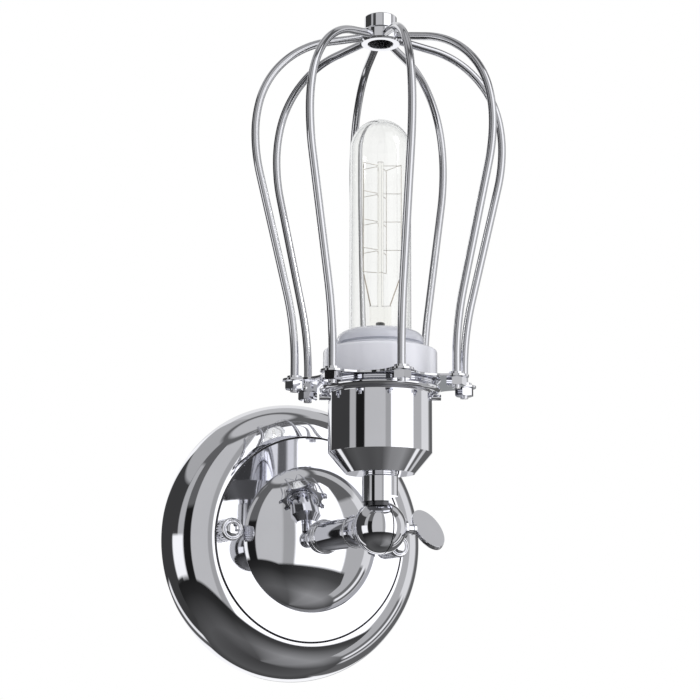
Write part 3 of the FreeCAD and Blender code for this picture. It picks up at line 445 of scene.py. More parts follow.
def dome_profile(inset):
    """Bends, points and crown centre of the dome, heights above the plate's face."""
    edge, knee, crown = DOME_SLOPES
    radius = span("dome_cover")[1].x
    first = (radius - DOME_EDGE * math.sin(edge), -DOME_EDGE * math.cos(edge))
    shift = DOME_EDGE - DOME_KNEE
    second = (first[0] + shift * math.sin(knee), first[1] + shift * math.cos(knee))
    crown_bend = DOME_KNEE + second[0] / math.sin(crown)
    third = second[1] - (crown_bend - DOME_KNEE) * math.cos(crown)
    bends = [b - inset for b in (DOME_EDGE, DOME_KNEE, crown_bend)]
    start = (first[0] + bends[0] * math.sin(edge), first[1] + bends[0] * math.cos(edge))
    middle = (first[0] + bends[0] * math.sin(knee), first[1] + bends[0] * math.cos(knee))
    top = (second[0] + bends[1] * math.sin(crown), second[1] + bends[1] * math.cos(crown))
    return bends, start, middle, top, third


def build_dome_cover():
    outer, start, middle, top, centre = dome_profile(0)
    inner, in_start, in_middle, in_top, in_centre = dome_profile(DOME_WALL)
    peak = centre + math.sqrt(outer[2] ** 2 - PIPE_HOLE ** 2)
    inner_peak = in_centre + math.sqrt(inner[2] ** 2 - PIPE_HOLE ** 2)

    def up(point, *arc):
        return (point[0], PLATE_DEPTH + point[1], *arc)

    lathe("dome", "dome_cover", [
        up(start), up(middle, outer[0], 1), up(top, outer[1], 1),
        up((PIPE_HOLE, peak), outer[2], 1), up((PIPE_HOLE, inner_peak)),
        up(in_top, inner[2], -1), up(in_middle, inner[1], -1),
        (in_start[0] + in_start[1] * 0.6, PLATE_DEPTH)], "wall", segments=192)


THUMB_RADIUS, THUMB_GRIP, THUMB_DOME, THUMB_RISE = 5.0, 6.2, 3.4, 0.3
KNURLS, KNURL_RADIUS = 24, 0.62


def build_thumb_nuts():
    """Knurled grip under a raised rim and a domed end."""
    radius, dome, rise, seat = THUMB_RADIUS, THUMB_DOME, THUMB_RISE, PLATE_DEPTH
    grip, end = seat + THUMB_GRIP, dome - 1.2
    for side in ("right", "left"):
        node = f"thumb_nut_{side}"
        low, high = span(node)
        top = -low.y
        place = Matrix.Translation(((low.x + high.x) / 2, (low.z + high.z) / 2, 0))
        lathe(f"thumb_{side}", node, [
            (0, seat), (radius - 1.0, seat), (radius - 0.7, seat + 0.4), (radius - 0.7, grip),
            (radius, grip), (radius, grip + 0.5), (radius - 0.9, grip + 1.4, 0.9, 1),
            (dome + 0.2, grip + 1.0), (dome, grip + 1.0), (end, top - rise, 1.7, 1),
            (0, top, (end * end + rise * rise) / (2 * rise), 1)], "wall", place=place, segments=72)
        ridge = [(0, seat + 0.3), (KNURL_RADIUS, seat + 0.5), (KNURL_RADIUS, grip - 0.1), (0, grip)]
        ridges = []
        for step in range(KNURLS):
            at = place @ about_z(360 / KNURLS * (step + 0.5))
            at = at @ Matrix.Translation((radius - KNURL_RADIUS, 0, 0))
            ridges.append(lathe_part(ridge, at, 10))
        joined(f"thumb_{side}_knurl", node, ridges, "wall")


def lathe_part(points, place, segments):
    """Vertices, faces and normals of a small turned detail, to be joined with others."""
    vertices, normals, loops = [], [], []
    turn = place.to_3x3()
    for radius, height, out, up in outline(points, 0.1):
        loops.append(range(len(vertices), len(vertices) + segments))
        for cosine, sine in circle(segments):
            vertices.append(place @ Vector((radius * cosine, radius * sine, height)))
            normals.append(turn @ Vector((out * cosine, out * sine, up)))
    faces = []
    for first, second in zip(loops, loops[1:]):
        faces += bands(first, second)
    return vertices, faces, normals


def joined(name, node, parts, where, shade=None):
    """One piece from several parts of (vertices, faces, normals)."""
    vertices, faces, normals = [], [], []
    for part in parts:
        base = len(vertices)
        vertices += part[0]
        faces += [[base + i for i in face] for face in part[1]]
        normals += part[2]
    return finish_mesh(name, node, vertices, faces, normals, FRAMES[where], shade)


# ------------------------------------------------------------------ arm and swivel

BALL, SEAM_FIXED, SEAM_MOVING = 11.0, 0.9, 0.5
THREAD = PIPE_RADIUS + 0.05
WIRE_WAY = 3.5
ARM_RADIUS, ARM_END = span("arm_tube")[1].x, -span("arm_tube")[0].y
COLLAR = span("arm_collar")[1].x + 0.2
FERRULE, FERRULE_TAIL, FERRULE_CUT, FERRULE_LIP = 10.7, 8.6, 11.7, 0.6
BEAD, BEAD_BEND = 0.5, 0.55
BALL_SEAT = 10.3


def build_arm():
    apex, start = -span("arm_collar")[1].y, -span("arm_tube")[1].y
    lathe("collar", "arm_collar", [
        (THREAD, apex), (COLLAR - 1.6, apex), (COLLAR - 0.5, apex + 0.5, 1.4, 1),
        (COLLAR - 0.5, apex + 1.7, 0.75, 1), (COLLAR - 0.9, apex + 1.8), (COLLAR - 0.9, apex + 2.2),
        (COLLAR - 0.7, apex + 3.4, 0.75, 1), (ARM_RADIUS + 0.2, apex + 3.6), (ARM_RADIUS, start),
        (THREAD, start)], "wall")
    lathe("arm", "arm_tube", [
        (THREAD, start), (ARM_RADIUS, start), (ARM_RADIUS, ARM_END), (THREAD, ARM_END)], "wall")


def build_swivel():
    """Ferrule with a bead at each end and the fixed half ball; neck and tilting half ball."""
    start, end, tail = ARM_END, ARM_END + FERRULE, REACH - FERRULE_TAIL
    radius, inner = ARM_RADIUS, ARM_RADIUS - FERRULE_LIP

    def base_end(vertex):
        """Cuts the ferrule short behind the other half ball."""
        if vertex.x > SEAM_FIXED:
            return vertex
        return Vector((vertex.x, vertex.y, min(vertex.z, REACH - FERRULE_CUT)))

    lathe("ferrule", "swivel_base", [
        (WIRE_WAY, start), (radius, start), (radius + BEAD, start + BEAD, BEAD_BEND, 1),
        (radius, start + 2 * BEAD, BEAD_BEND, 1), (radius, end - 2 * BEAD),
        (radius + BEAD, end - BEAD, BEAD_BEND, 1), (radius, end, BEAD_BEND, 1),
        (inner, end + FERRULE_LIP), (inner, tail), (WIRE_WAY, tail)], "wall", reshape=base_end)
    lathe("ball_fixed", "swivel_base", [
        (0, SEAM_FIXED), (ball_radius_at(SEAM_FIXED), SEAM_FIXED),
        (ball_radius_at(BALL_SEAT), BALL_SEAT, BALL, 1), (0, BALL_SEAT)], "pivot", edge=0.1)
    # Painted shade on the neck's slim root and groove, below NECK_START.
    joined("neck", "swivel_head", neck_parts(span("swivel_head")[1].z), "head",
           shade=lambda r, z: NECK_SHADE if z < NECK_START + 0.05 else 0.0)
    lathe("ball_moving", "swivel_head", [
        (0, -BALL), (ball_radius_at(SEAM_MOVING), SEAM_MOVING, BALL, 1), (0, SEAM_MOVING)],
        "pivot", edge=0.1)


def ball_radius_at(height):
    return math.sqrt(BALL ** 2 - height ** 2)


NECK_ROOT, NECK_RADIUS, NECK_HOLE = 6.8, 7.4, 5.0
ROOT_LOW, ROOT_HIGH, NECK_START = 7.9, 10.2, 10.4
# NECK_SHADE is painted shade on the neck's root and groove.
NECK_STEP, NECK_CORNER, NECK_SHADE = 12.8, 1.2, 0.9
BACK_PARTS, FRONT_PARTS = 72, 48


def neck_parts(top):
    """Neck with a slim root; right of the seam it is cut away below a step, with a round
    inner corner."""
    root, neck, edge = NECK_ROOT, NECK_RADIUS, SEAM_MOVING
    corner = []
    for degrees in range(0, 91, 15):
        turn = math.radians(degrees)
        height = NECK_STEP - NECK_CORNER * (1 - math.sin(turn))
        corner.append((height, edge + NECK_CORNER * (1 - math.cos(turn)), turn))
    limit = edge + NECK_CORNER
    lower = [(root, ROOT_LOW, edge, 1, 0), (root, ROOT_HIGH, edge, 1, 0),
             (root, ROOT_HIGH, edge, 0.32, -0.95), (neck, NECK_START, edge, 0.32, -0.95),
             (neck, NECK_START, edge, 1, 0), (neck, NECK_START + 0.1, edge, 1, 0)]
    lower += [(neck, height, reach, 1, 0) for height, reach, turn in corner]
    upper = [(neck, NECK_STEP, limit, 1, 0), (neck, top - 0.5, limit, 1, 0),
             (neck - 0.1, top - 0.34, limit, 0.85, 0.53),
             (neck - 0.34, top - 0.1, limit, 0.53, 0.85), (neck - 0.5, top, limit, 0, 1),
             (NECK_HOLE, top, limit, 0, 1)]
    cut = [(ROOT_LOW, root, edge, 0.0), (ROOT_HIGH, root, edge, 0.0), (NECK_START, neck, edge, 0.0)]
    cut += [(height, neck, reach, turn) for height, reach, turn in corner]
    vertices, normals = [], []
    for height, radius, reach, turn in cut:
        half = math.sqrt(radius ** 2 - reach ** 2)
        vertices += [Vector((reach, side, height)) for side in (-half, half)]
        normals += [Vector((math.cos(turn), 0, -math.sin(turn)))] * 2
    faces = [[row, row + 1, row + 3, row + 2] for row in range(0, len(vertices) - 2, 2)]
    under = [Vector((neck * math.cos(a), neck * math.sin(a), NECK_STEP))
             for a in front_angles(math.acos(limit / neck), 0)]
    step = (under, [list(range(len(under)))[::-1]], [Vector((0, 0, -1))] * len(under))
    return [neck_wall(lower, False), neck_wall(upper, True), (vertices, faces, normals), step]


def front_angles(half, trim):
    """Angles over the cut-away front, from -half to half, without trim ones at each end."""
    steps = range(trim, FRONT_PARTS + 1 - trim)
    return [-half + 2 * half * index / FRONT_PARTS for index in steps]


def neck_wall(rows, whole):
    """Outer wall from rows of (radius, height, limit, out, up), open past the limit unless
    whole."""
    vertices, normals, faces = [], [], []
    for radius, height, limit, out, up in rows:
        half = math.acos(limit / radius)
        sweep = 2 * (math.pi - half)
        angles = [half + sweep * index / BACK_PARTS for index in range(BACK_PARTS + 1)]
        if whole:
            angles += front_angles(half, 1)
        for angle in angles:
            cosine, sine = math.cos(angle), math.sin(angle)
            vertices.append(Vector((radius * cosine, radius * sine, height)))
            normals.append(Vector((out * cosine, out * sine, up)))
    size = len(angles)
    for row in range(0, len(vertices) - size, size):
        ring = bands(range(row, row + size), range(row + size, row + 2 * size))
        faces += ring if whole else ring[:-1]
    return vertices, faces, normals


WING_SHANK, WING_FLANGE, WING_WAIST, WING_BOSS = 2.5, 3.3, 2.1, 2.2
WING_START, WING_LENGTH, WING_REACH, WING_THICK, WING_TURN = 16.0, 12.4, 11.5, 2.0, 46
WASHER, LEAF_SIDES = 0.9, 96


def build_wing_screw():
    seat, start, shank = BALL_SEAT, WING_START, WING_SHANK
    shoulder = seat + WASHER + 0.05
    neck = shoulder + 1.05
    lathe("wing_stem", "wing_screw", [
        (0, seat), (shank, seat), (shank, shoulder), (WING_FLANGE, shoulder),
        (WING_FLANGE, shoulder + 0.7), (WING_FLANGE - 0.4, neck), (WING_WAIST, neck),
        (WING_WAIST, start - 1.3), (WING_BOSS, start - 1.3), (shank, start - 1.0), (shank, start),
        (WING_WAIST, start + 0.4), (0, start + 0.4)], "pivot", edge=0.12, segments=64)
    place = about_z(WING_TURN) @ Matrix.Translation((0, 0, start + WING_LENGTH / 2))
    joined("wing_leaf", "wing_screw", [leaf_mesh(place)], "pivot")


def leaf_mesh(place):
    """Flat oval leaf with a crisp rim, in the place's YZ plane."""
    half = WING_LENGTH / 2
    turn = place.to_3x3()
    rows = [(0, -1, -1, 0), (0.978, -1, -1, 0), (0.984, -0.97, -0.85, 0.53),
            (0.988, -0.9, -0.4, 0.92), (0.994, -0.5, -0.07, 1), (1.0, 0, 0, 1)]
    rows += [(scale, -height, -up, out) for scale, height, up, out in reversed(rows[:-1])]
    vertices, normals, loops, faces = [], [], [], []
    for scale, height, up, out in rows:
        loops.append(range(len(vertices), len(vertices) + LEAF_SIDES))
        for cosine, sine in circle(LEAF_SIDES):
            flank = Vector((0, sine / WING_REACH, cosine / half)).normalized()
            at = (height * WING_THICK / 2, WING_REACH * scale * sine, half * scale * cosine)
            vertices.append(place @ Vector(at))
            normals.append(turn @ (flank * out + Vector((up, 0, 0))).normalized())
    for first, second in zip(loops, loops[1:]):
        faces += bands(second, first)
    return vertices, faces, normals


# ------------------------------------------------------------------ cup and holder

RING_LOW, RING_HIGH = span("cage_ring")[0].z, span("cage_ring")[1].z
CUP_BOTTOM, CUP_TOP = span("socket_cup")[0].z, span("socket_cup")[1].z
CUP_RADIUS, CUP_FOOT, CUP_WALL, CUP_CHAMFER = 21.56, 14.4, 1.0, 8.5
CUP_FLARE, CUP_NECKING = 55.2, 0.8
CUP_LIP, CUP_RIM = span("socket_cup")[1].x, 23.2


def build_cup():
    shoulder = CUP_BOTTOM + CUP_CHAMFER
    bead = CUP_LIP - CUP_RIM
    inside, floor = CUP_RADIUS - CUP_WALL, CUP_BOTTOM + CUP_WALL
    lathe("cup", "socket_cup", [
        (PIPE_HOLE, CUP_BOTTOM), (CUP_FOOT, CUP_BOTTOM), (CUP_RADIUS, shoulder),
        (CUP_RADIUS, CUP_FLARE - CUP_NECKING),
        (CUP_RADIUS + CUP_NECKING, CUP_FLARE, CUP_NECKING, -1), (CUP_RIM, CUP_FLARE),
        (CUP_LIP, CUP_FLARE + bead, bead, 1), (CUP_RIM, CUP_FLARE + 1.5 * bead, bead, 1),
        (CUP_RIM, CUP_TOP), (inside, CUP_TOP), (inside, shoulder + CUP_WALL / 2),
        (CUP_FOOT - CUP_WALL / 2, floor), (PIPE_HOLE, floor)], "head", segments=192)
    low, high = span("neck_washer")
    lathe("washer", "neck_washer", [
        (PIPE_HOLE, low.z), (high.x, low.z), (high.x, high.z), (PIPE_HOLE, high.z)], "head")


HOLDER_RADIUS, HOLDER_BAND, HOLDER_SPIGOT, HOLDER_BORE = 23.8, 13.4, 19.0, 4.2
SHOULDER, SHOULDER_HEIGHT, MOUTH = 18.3, 3.9, 14.2
GROOVE, GROOVE_DEPTH = (1.6, 1.9, 2.5, 2.8), 0.5
# Painted shade on the holder's shoulder, darker in its groove.
SHOULDER_SHADE, GROOVE_SHADE = 0.35, 0.75


def build_holder():
    """Spigot in the cup, wide band on the ring, grooved shoulder and round mouth."""
    bottom, top = span("lamp_holder")[0].z, span("lamp_holder")[1].z
    floor, shell = span("screw_shell")[0].z, span("screw_shell")[1].x + 0.02
    band = RING_HIGH + HOLDER_BAND
    bend = band + SHOULDER_HEIGHT
    arch = top - bend
    groove = [band + height for height in GROOVE]
    hollow = SHOULDER - GROOVE_DEPTH

    # Painted shade: the shoulder is darker, its groove darker still.
    def shoulder_shade(radius, height):
        if height < band + 0.05:
            return 0.0
        return GROOVE_SHADE if groove[0] + 0.1 < height < groove[3] - 0.1 else SHOULDER_SHADE

    lathe("porcelain_body", "lamp_holder", [
        (HOLDER_BORE, bottom), (HOLDER_SPIGOT - 0.8, bottom), (HOLDER_SPIGOT, bottom + 0.8),
        (HOLDER_SPIGOT, RING_HIGH), (HOLDER_RADIUS, RING_HIGH), (HOLDER_RADIUS, band - 1.2),
        (HOLDER_RADIUS - 1.2, band, 1.2, 1), (SHOULDER, band), (SHOULDER, groove[0]),
        (hollow, groove[1]), (hollow, groove[2]), (SHOULDER, groove[3]), (SHOULDER, bend),
        (SHOULDER - arch + 0.6, top - 0.3, arch, 1), (MOUTH + 0.5, top), (MOUTH, top - 0.5, 0.5, 1),
        (MOUTH, top - 3), (shell, top - 4), (shell, floor), (HOLDER_BORE, floor)],
        "head", edge=0.45, segments=160, shade=shoulder_shade)


# ------------------------------------------------------------------ cage

WIRES = 8
FOOT, LOBE, VALLEY, RING_HOLE = 36.2, 5.0, 31.0, 19.4
WIRE, WIRE_SEAT, WIRE_DULL = 1.7, 6.4, 0.22
WIRE_START, WIRE_COLLAR, COLLAR_HIGH = 54.6, 3.1, 1.2
CAGE_TURN = -90 - 13.6


def build_ring():
    """Scalloped plate: concave valleys between round lobes, with a fine round edge."""
    step = math.pi / WIRES
    along, across = FOOT * math.cos(step), FOOT * math.sin(step)
    gap = along - VALLEY
    scoop = (gap * gap + across * across - LOBE * LOBE) / (2 * (LOBE + gap))
    centre = VALLEY + scoop
    tangent = LOBE / (LOBE + scoop)
    x = FOOT + (centre * math.cos(step) - FOOT) * tangent
    y = centre * math.sin(step) * tangent
    points = []
    for lobe in range(WIRES):
        turn = Matrix.Rotation(2 * step * lobe, 2)
        points.append((*(turn @ Vector((x, -y))), scoop, -1))
        points.append((*(turn @ Vector((x, y))), LOBE, 1))
    outer, hole = outline(points, 0), []
    for sample in outer:
        out = Vector(sample[:2]).normalized()
        hole.append((RING_HOLE * out.x, RING_HOLE * out.y, -out.x, -out.y))
    section = []
    for level, side, turns in ((RING_LOW, -1, (0, 30, 60, 90)), (RING_HIGH, 1, (90, 60, 30, 0))):
        for turn in turns:
            out, up = math.sin(math.radians(turn)), math.cos(math.radians(turn))
            section.append((EDGE * (1 - out), level - side * EDGE * (1 - up), out, side * up))
    vertices, normals, loops, faces = [], [], [], []
    for rim, rows in ((outer, section), (hole, section[::-1])):
        for inset, height, out, up in rows:
            loops.append(range(len(vertices), len(vertices) + len(rim)))
            vertices += [(x - nx * inset, y - ny * inset, height) for x, y, nx, ny in rim]
            normals += [(nx * out, ny * out, up) for x, y, nx, ny in rim]
    for first, second in zip(loops, loops[1:] + loops[:1]):
        faces += bands(first, second)
    place = FRAMES["head"] @ about_z(CAGE_TURN)
    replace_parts(finish_mesh("ring", "cage_ring", vertices, faces, normals, place), "cage_ring")


NUT_FLATS, NUT_TURN, NUT_CHAMFER, NUT_BEVEL = 7.0, -28, 0.496, 0.12


def nut_part(bottom, top, place):
    """Hexagon nut with chamfered corners: a wall, and at each end a chamfer and a flat."""
    corner, inscribed = NUT_FLATS / math.sqrt(3), NUT_FLATS / 2
    depth = (corner - inscribed) * NUT_CHAMFER
    turn = place.to_3x3()
    vertices, normals, faces = [], [], []

    def add(points, normal):
        first = len(vertices)
        vertices.extend(place @ Vector(point) for point in points)
        normals.extend([turn @ Vector(normal)] * len(points))
        return range(first, len(vertices))

    corners = [Vector((corner * cosine, corner * sine)) for cosine, sine in circle(6)]
    for side, start in enumerate(corners):
        end = corners[(side + 1) % 6]
        edge = [start.lerp(end, part / 4) for part in range(5)]
        drops = [depth * max(0.0, (p.length - inscribed) / (corner - inscribed)) for p in edge]
        rim = [point.normalized() * (inscribed - NUT_BEVEL) for point in edge]
        out = (start + end).normalized()
        low = add([(*point, bottom + drop) for point, drop in zip(edge, drops)], (*out, 0))
        high = add([(*point, top - drop) for point, drop in zip(edge, drops)], (*out, 0))
        faces += [[low[a], low[a + 1], high[a + 1], high[a]] for a in range(4)]
        for level, up in ((bottom, -1), (top, 1)):
            lean = Vector((*(out * 0.5), up)).normalized()
            outer = add([(*point, level - up * drop) for point, drop in zip(edge, drops)], lean)
            inner = add([(*point, level) for point in rim], lean)
            flat = add([(0, 0, level), *((*point, level) for point in rim)], (0, 0, up))
            for a in range(4):
                ring = [outer[a], outer[a + 1], inner[a + 1], inner[a]]
                slice_of_flat = [flat[0], flat[a + 1], flat[a + 2]]
                faces.append(ring if up > 0 else ring[::-1])
                faces.append(slice_of_flat if up > 0 else slice_of_flat[::-1])
    return vertices, faces, normals


def build_cage_nuts():
    low, high = span("cage_nuts")
    parts = []
    for step in range(WIRES):
        at = about_z(CAGE_TURN + 360 / WIRES * step) @ Matrix.Translation((FOOT, 0, 0))
        parts.append(nut_part(low.z, high.z, at @ about_z(NUT_TURN * step)))
    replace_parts(joined("nuts", "cage_nuts", parts, "head"), "cage_nuts")


def wire_route():
    """Foot, slow outward bend, straight run, waist bend, crown in two bends, run to the hub."""
    low, level, wide = 66.0, 164.9, 54.0
    foot_bend, waist_bend, side, crown = 130.0, 78.0, 56.0, 38.8
    turn, slope = math.radians(14), math.radians(12)
    bends, across, along = foot_bend + waist_bend, wide - FOOT, level - low
    run = math.sqrt((across - bends) ** 2 + along ** 2 - bends ** 2)
    whole = bends ** 2 + run ** 2
    sine = (bends * along - run * (bends - across)) / whole
    cosine = (bends * (bends - across) + run * along) / whole
    first = (FOOT + foot_bend * (1 - cosine), low + foot_bend * sine)
    second = (wide - waist_bend * (1 - cosine), level - waist_bend * sine)
    knee = (wide - side * (1 - math.cos(turn)), level + side * math.sin(turn))
    top = (wide - side + (side - crown) * math.cos(turn) + crown * math.sin(slope),
           level + (side - crown) * math.sin(turn) + crown * math.cos(slope))
    end = (WIRE_SEAT, top[1] + (top[0] - WIRE_SEAT) * math.tan(slope))
    return [(FOOT, WIRE_START), (FOOT, low), (*first, foot_bend, -1), second,
            (wide, level, waist_bend, 1), (*knee, side, 1), (*top, crown, 1), end]


def build_wires():
    inner, top = WIRE - 0.1, RING_HIGH + COLLAR_HIGH
    collar = [(inner, RING_HIGH), (WIRE_COLLAR, RING_HIGH), (WIRE_COLLAR, top), (inner, top)]
    for step in range(WIRES):
        place = about_z(CAGE_TURN - 360 / WIRES * step)
        name, node = f"wire_{step + 1}", f"cage_wire_{step + 1}"
        tube(name, node, wire_route(), WIRE, "head", place, 32, WIRE_DULL)
        at_foot = place @ Matrix.Translation((FOOT, 0, 0))
        joined(f"{name}_collar", node, [lathe_part(collar, at_foot, 40)], "head")


HUB_RADIUS, HUB_CHAMFER, HUB_BORE, HUB_MOUTH = 9.0, 0.8, 5.2, 5.6
# THREAD_SHADE is painted shade inside the threaded bore.
THREAD_DEPTH, THREAD_STEP, THREAD_STEPS, THREAD_SHADE = 0.45, 0.35, 13, 0.8
CAP_STEM, CAP_NECK, CAP_GAP = HUB_BORE - 0.05, 6.2, 0.4


def build_hub():
    """Hub with a threaded bore that shows from below, and its cap on a short neck."""
    radius, bottom, top = HUB_RADIUS, span("cage_hub")[0].z, span("cage_hub")[1].z
    thread = [(HUB_BORE + THREAD_DEPTH * (step % 2), top - THREAD_STEP * step)
              for step in range(1, THREAD_STEPS + 1)]
    # Painted shade inside the threaded bore.
    lathe("hub", "cage_hub", [
        (HUB_MOUTH, bottom), (radius - HUB_CHAMFER, bottom), (radius, bottom + HUB_CHAMFER),
        (radius, top - HUB_CHAMFER), (radius - HUB_CHAMFER, top), (HUB_BORE, top), *thread,
        (HUB_BORE, bottom + 0.4)], "head", edge=0.06,
        shade=lambda r, z: THREAD_SHADE if r < HUB_MOUTH + 0.1 and z > bottom + 0.3 else 0.0)
    low, high = span("hub_cap")
    cap, start = high.x, top + CAP_GAP
    lathe("cap", "hub_cap", [
        (0, low.z), (CAP_STEM, low.z), (CAP_STEM, top), (CAP_NECK, top), (CAP_NECK, start),
        (cap - 0.3, start), (cap, start + 0.3), (cap, high.z - 0.4), (cap - 0.4, high.z),
        (0, high.z)], "head", edge=0.25)


# ------------------------------------------------------------------ bulb

GLASS_WALL, GLASS_NECKING = 0.8, 0.9
PRESS_RADIUS, PRESS_STEM = 1.9, 1.2


def build_bulb():
    """Glass tube with a round dome and a necked foot, and a dark ring pressed on its stem."""
    low, high = span("bulb_glass")
    radius, wall, joint = high.x, GLASS_WALL, span("bulb_base")[1].z + 0.2
    neck, dome = radius - GLASS_NECKING, high.z - radius
    lathe("glass", "bulb_glass", [
        (neck, low.z), (neck, joint - 0.2), (radius, joint + 1.0), (radius, dome),
        (0, high.z, radius, 1), (0, high.z - wall), (radius - wall, dome, radius - wall, -1),
        (radius - wall, joint + 1.2), (neck - wall, joint), (neck - wall, low.z)],
        "head", edge=0.3, segments=96)
    foot = span("lead_wires")[0].z
    press = [(PRESS_STEM, foot - 8.6), (PRESS_RADIUS, foot - 8.2), (PRESS_RADIUS, foot - 7.2),
             (PRESS_STEM, foot - 6.8)]
    ring = lathe_part(press, Matrix(), 40)
    joined("stem_press", "bulb_stem", [ring], "head", shade=lambda r, z: 1.0)


build_wall_plate()
build_dome_cover()
build_thumb_nuts()
build_arm()
build_swivel()
build_wing_screw()
build_cup()
build_holder()
build_ring()
build_cage_nuts()
build_wires()
build_hub()
build_bulb()


# ------------------------------------------------------------------ studio

FLOOR_LEVEL, FLOOR_HALF = -0.30, 6.0


def build_floor():
    """Pale, faintly uneven floor that the chrome doesn't reflect."""
    material, nodes, shader = surface("floor", Roughness=0.9)
    connect(nodes, shader, Base_Color=nodes.ramp(nodes.noise(3, 2), [(0.0, 0.90), (1.0, 0.94)]))
    half = FLOOR_HALF
    corners = [(-half, -half, 0), (half, -half, 0), (half, half, 0), (-half, half, 0)]
    mesh = bpy.data.meshes.new("floor")
    mesh.from_pydata(corners, [], [(0, 1, 2, 3)])
    mesh.materials.append(material)
    floor = bpy.data.objects.new("floor", mesh)
    floor.location = (0, 0, FLOOR_LEVEL)
    bpy.context.scene.collection.objects.link(floor)
    floor.visible_glossy = False


build_floor()

# Studio round the object, by azimuth from the room side (-Y) towards +X, in degrees. WALLS are
# the brightnesses at eye level: a white softbox right of the camera, grey walls, dark flags on
# the left, white behind; LOWER the same below eye level. TOPS and BOTTOMS are the elevations
# where the walls end, OVER the brightness just above them, GROUND a factor for the dark below.
# BACK marks the grey foot of the wall behind, SPOT a small white light on the left. Heights are
# elevations in degrees, and the SOFT numbers are how far the light changes on each side of an
# edge. EVEN is the light that diffuse rays find, from all sides.
WALLS = [
    (-180, 1.0), (-163, 0.045), (-97, 0.44), (-81.5, 0.012), (-61, 0.52), (-15, 0.36), (-3, 1.3),
    (51, 0.44), (76, 0.74), (105, 0.38), (111, 0.12), (138, 0.8),
]
TOPS = [(-180, 36), (-97, 50), (-82, 22), (-61, 64), (-3, 55), (51, 33), (119, 45)]
OVER = [(-180, 0.40), (-97, 0.12), (85, 0.5)]
LOWER = [
    (-180, 1.0), (-168, 0.10), (-156, 0.9), (-147, 0.045), (-97, 0.44),
    (-81.5, 0.012), (-61, 0.52), (-15, 0.36), (-3, 1.3), (51, 0.44), (76, 0.15), (86, 0.9),
    (94, 0.12), (102, 0.6), (110, 0.12), (140, 1.0),
]
BOTTOMS = [(-180, -38), (-163, -44), (-120, -22), (58, -46), (140, -38)]
GROUND = [(-180, 0.7), (-60, 0.9), (5, 2.2), (80, 0.7)]
BACK = [(-180, 1), (-163, 0), (140, 1)]
BACK_HEIGHTS, BACK_COLOUR = (-14, -8), (0.27, 0.28, 0.285, 1)
SPOT_SIDES, SPOT_HEIGHTS = (-112, -83), (-20, 5)
LOWER_HEIGHT, DOME_HEIGHT = -13, 66
DOME = [(0.66, 0.12), (0.78, 0.12), (0.82, 0.5), (1.0, 0.5)]
DEPTHS = [(0.24, 0.018), (0.34, 0.03), (0.5, 0.09), (0.62, 0.13), (1.0, 0.07)]
SOFT, SOFT_GROUND = 1.0, 20.0
SOFT_WALLS, SOFT_BACK, SOFT_DOME, SOFT_BOTTOMS, SOFT_SPOT = 1.5, 0.8, 2.0, 1.2, (2.0, 1.0)
EVEN_COLOUR, EVEN_STRENGTH = (1.0, 1.0, 1.02, 1), 0.75


def by_azimuth(nodes, around, rows, soft=SOFT):
    """Value that changes in short steps with the azimuth; kept within 0..1 by a scale."""
    low, high = min(v for a, v in rows), max(v for a, v in rows)
    stops = []
    for index, (start, value) in enumerate(rows):
        if index:
            stops.append(((start + 180 - soft) / 360, stops[-1][1]))
        stops.append(((start + 180 + (soft if index else 0)) / 360, (value - low) / (high - low)))
    return nodes.between(nodes.ramp(around, stops), low, high)


def within(nodes, value, limits, soft):
    """1 between two limits, 0 outside them."""
    above_low, above_high = [nodes.step(value, limit, soft) for limit in limits]
    return nodes.math("SUBTRACT", above_low, above_high)


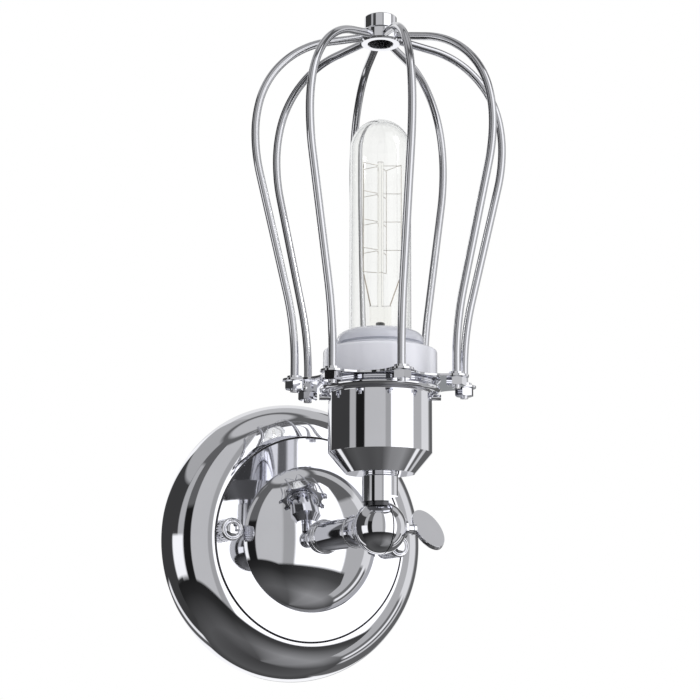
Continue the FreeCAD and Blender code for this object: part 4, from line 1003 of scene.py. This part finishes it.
def build_world():
    """Studio for the reflections, an even light for diffuse rays, white for the camera."""
    world = bpy.data.worlds.new("studio")
    bpy.context.scene.world = world
    world.use_nodes = True
    nodes = Nodes(world.node_tree)
    place = nodes.add("ShaderNodeTexCoord")
    split = nodes.add("ShaderNodeSeparateXYZ", {0: place.outputs["Generated"]})
    x, y, z = split.outputs
    turn = nodes.math("DEGREES", nodes.math("ARCTAN2", x, nodes.math("MULTIPLY", y, -1.0)))
    around = nodes.math("ADD", nodes.math("DIVIDE", turn, 360.0), 0.5)
    height = nodes.math("DEGREES", nodes.math("ARCSINE", z))
    high = nodes.math("DIVIDE", height, 90.0)
    walls, lower, over, tops, bottoms, back = (
        by_azimuth(nodes, around, rows) for rows in (WALLS, LOWER, OVER, TOPS, BOTTOMS, BACK))
    walls = nodes.mix(nodes.step(height, LOWER_HEIGHT, SOFT_WALLS), lower, walls)
    shade = nodes.mix(nodes.step(height, tops, SOFT_WALLS), walls, over)
    band = nodes.math("MULTIPLY", within(nodes, height, BACK_HEIGHTS, SOFT_BACK), back)
    shade = nodes.mix(band, shade, BACK_COLOUR)
    shade = nodes.mix(nodes.step(height, DOME_HEIGHT, SOFT_DOME), shade, nodes.ramp(high, DOME))
    ground = nodes.ramp(nodes.math("MULTIPLY", high, -1.0), DEPTHS)
    factor = by_azimuth(nodes, around, GROUND, SOFT_GROUND)
    factor = nodes.add("ShaderNodeCombineXYZ", {axis: factor for axis in range(3)}).outputs[0]
    ground = nodes.add(
        "ShaderNodeVectorMath", {0: ground, 1: factor}, operation="MULTIPLY").outputs[0]
    shade = nodes.mix(nodes.step(height, bottoms, SOFT_BOTTOMS), ground, shade)
    spot = nodes.math("MULTIPLY", within(nodes, turn, SPOT_SIDES, SOFT_SPOT[0]),
                      within(nodes, height, SPOT_HEIGHTS, SOFT_SPOT[1]))
    colour = nodes.mix(spot, shade, (1, 1, 1, 1))
    ray = nodes.add("ShaderNodeLightPath")
    glossy = nodes.add("ShaderNodeBackground", {"Color": colour, "Strength": 1.0})
    even = nodes.add("ShaderNodeBackground", {"Color": EVEN_COLOUR, "Strength": EVEN_STRENGTH})
    white = nodes.add("ShaderNodeBackground", {"Color": (1, 1, 1, 1), "Strength": 1.0})
    diffuse = nodes.add("ShaderNodeMixShader", {0: ray.outputs["Is Diffuse Ray"]})
    nodes.tree.links.new(glossy.outputs[0], diffuse.inputs[1])
    nodes.tree.links.new(even.outputs[0], diffuse.inputs[2])
    seen = nodes.math("MAXIMUM", ray.outputs["Is Camera Ray"], ray.outputs["Is Transmission Ray"])
    final = nodes.add("ShaderNodeMixShader", {0: seen})
    nodes.tree.links.new(diffuse.outputs[0], final.inputs[1])
    nodes.tree.links.new(white.outputs[0], final.inputs[2])
    nodes.add("ShaderNodeOutputWorld", {"Surface": final.outputs[0]})


build_world()


KEY_AT, KEY_AIM, KEY_SIZE, KEY_POWER = Vector((0.9, -1.1, 0.9)), Vector((0, -0.09, 0.07)), 0.7, 9


def build_key_light():
    light = bpy.data.lights.new("key", "AREA")
    light.shape = "DISK"
    light.size = KEY_SIZE
    light.energy = KEY_POWER
    key = bpy.data.objects.new("key", light)
    key.location = KEY_AT
    key.rotation_euler = (KEY_AIM - KEY_AT).to_track_quat("-Z", "Y").to_euler()
    key.visible_glossy = False
    bpy.context.scene.collection.objects.link(key)


build_key_light()

# Camera as the photograph was taken: below the ball, left of the arm, looking slightly up.
CAMERA_AT = Vector((-0.32025, -0.71674, -0.06032))
CAMERA_AIM = Vector((-0.01398, -0.08846, 0.07261))
CAMERA_ROLL = math.radians(0.263)
FOCAL_PIXELS, PHOTO_PIXELS, SENSOR = 1723.66, 700, 36
camera = bpy.data.objects.new("camera", bpy.data.cameras.new("camera"))
camera.data.sensor_width = SENSOR
camera.data.lens = FOCAL_PIXELS / PHOTO_PIXELS * SENSOR
camera.data.clip_start = 0.01
camera.location = CAMERA_AT
aim = (CAMERA_AIM - CAMERA_AT).to_track_quat("-Z", "Y").to_matrix()
camera.rotation_euler = (aim @ Matrix.Rotation(CAMERA_ROLL, 3, "Z")).to_euler()
bpy.context.scene.collection.objects.link(camera)
bpy.context.scene.camera = camera
bpy.context.scene.view_settings.view_transform = "Standard"
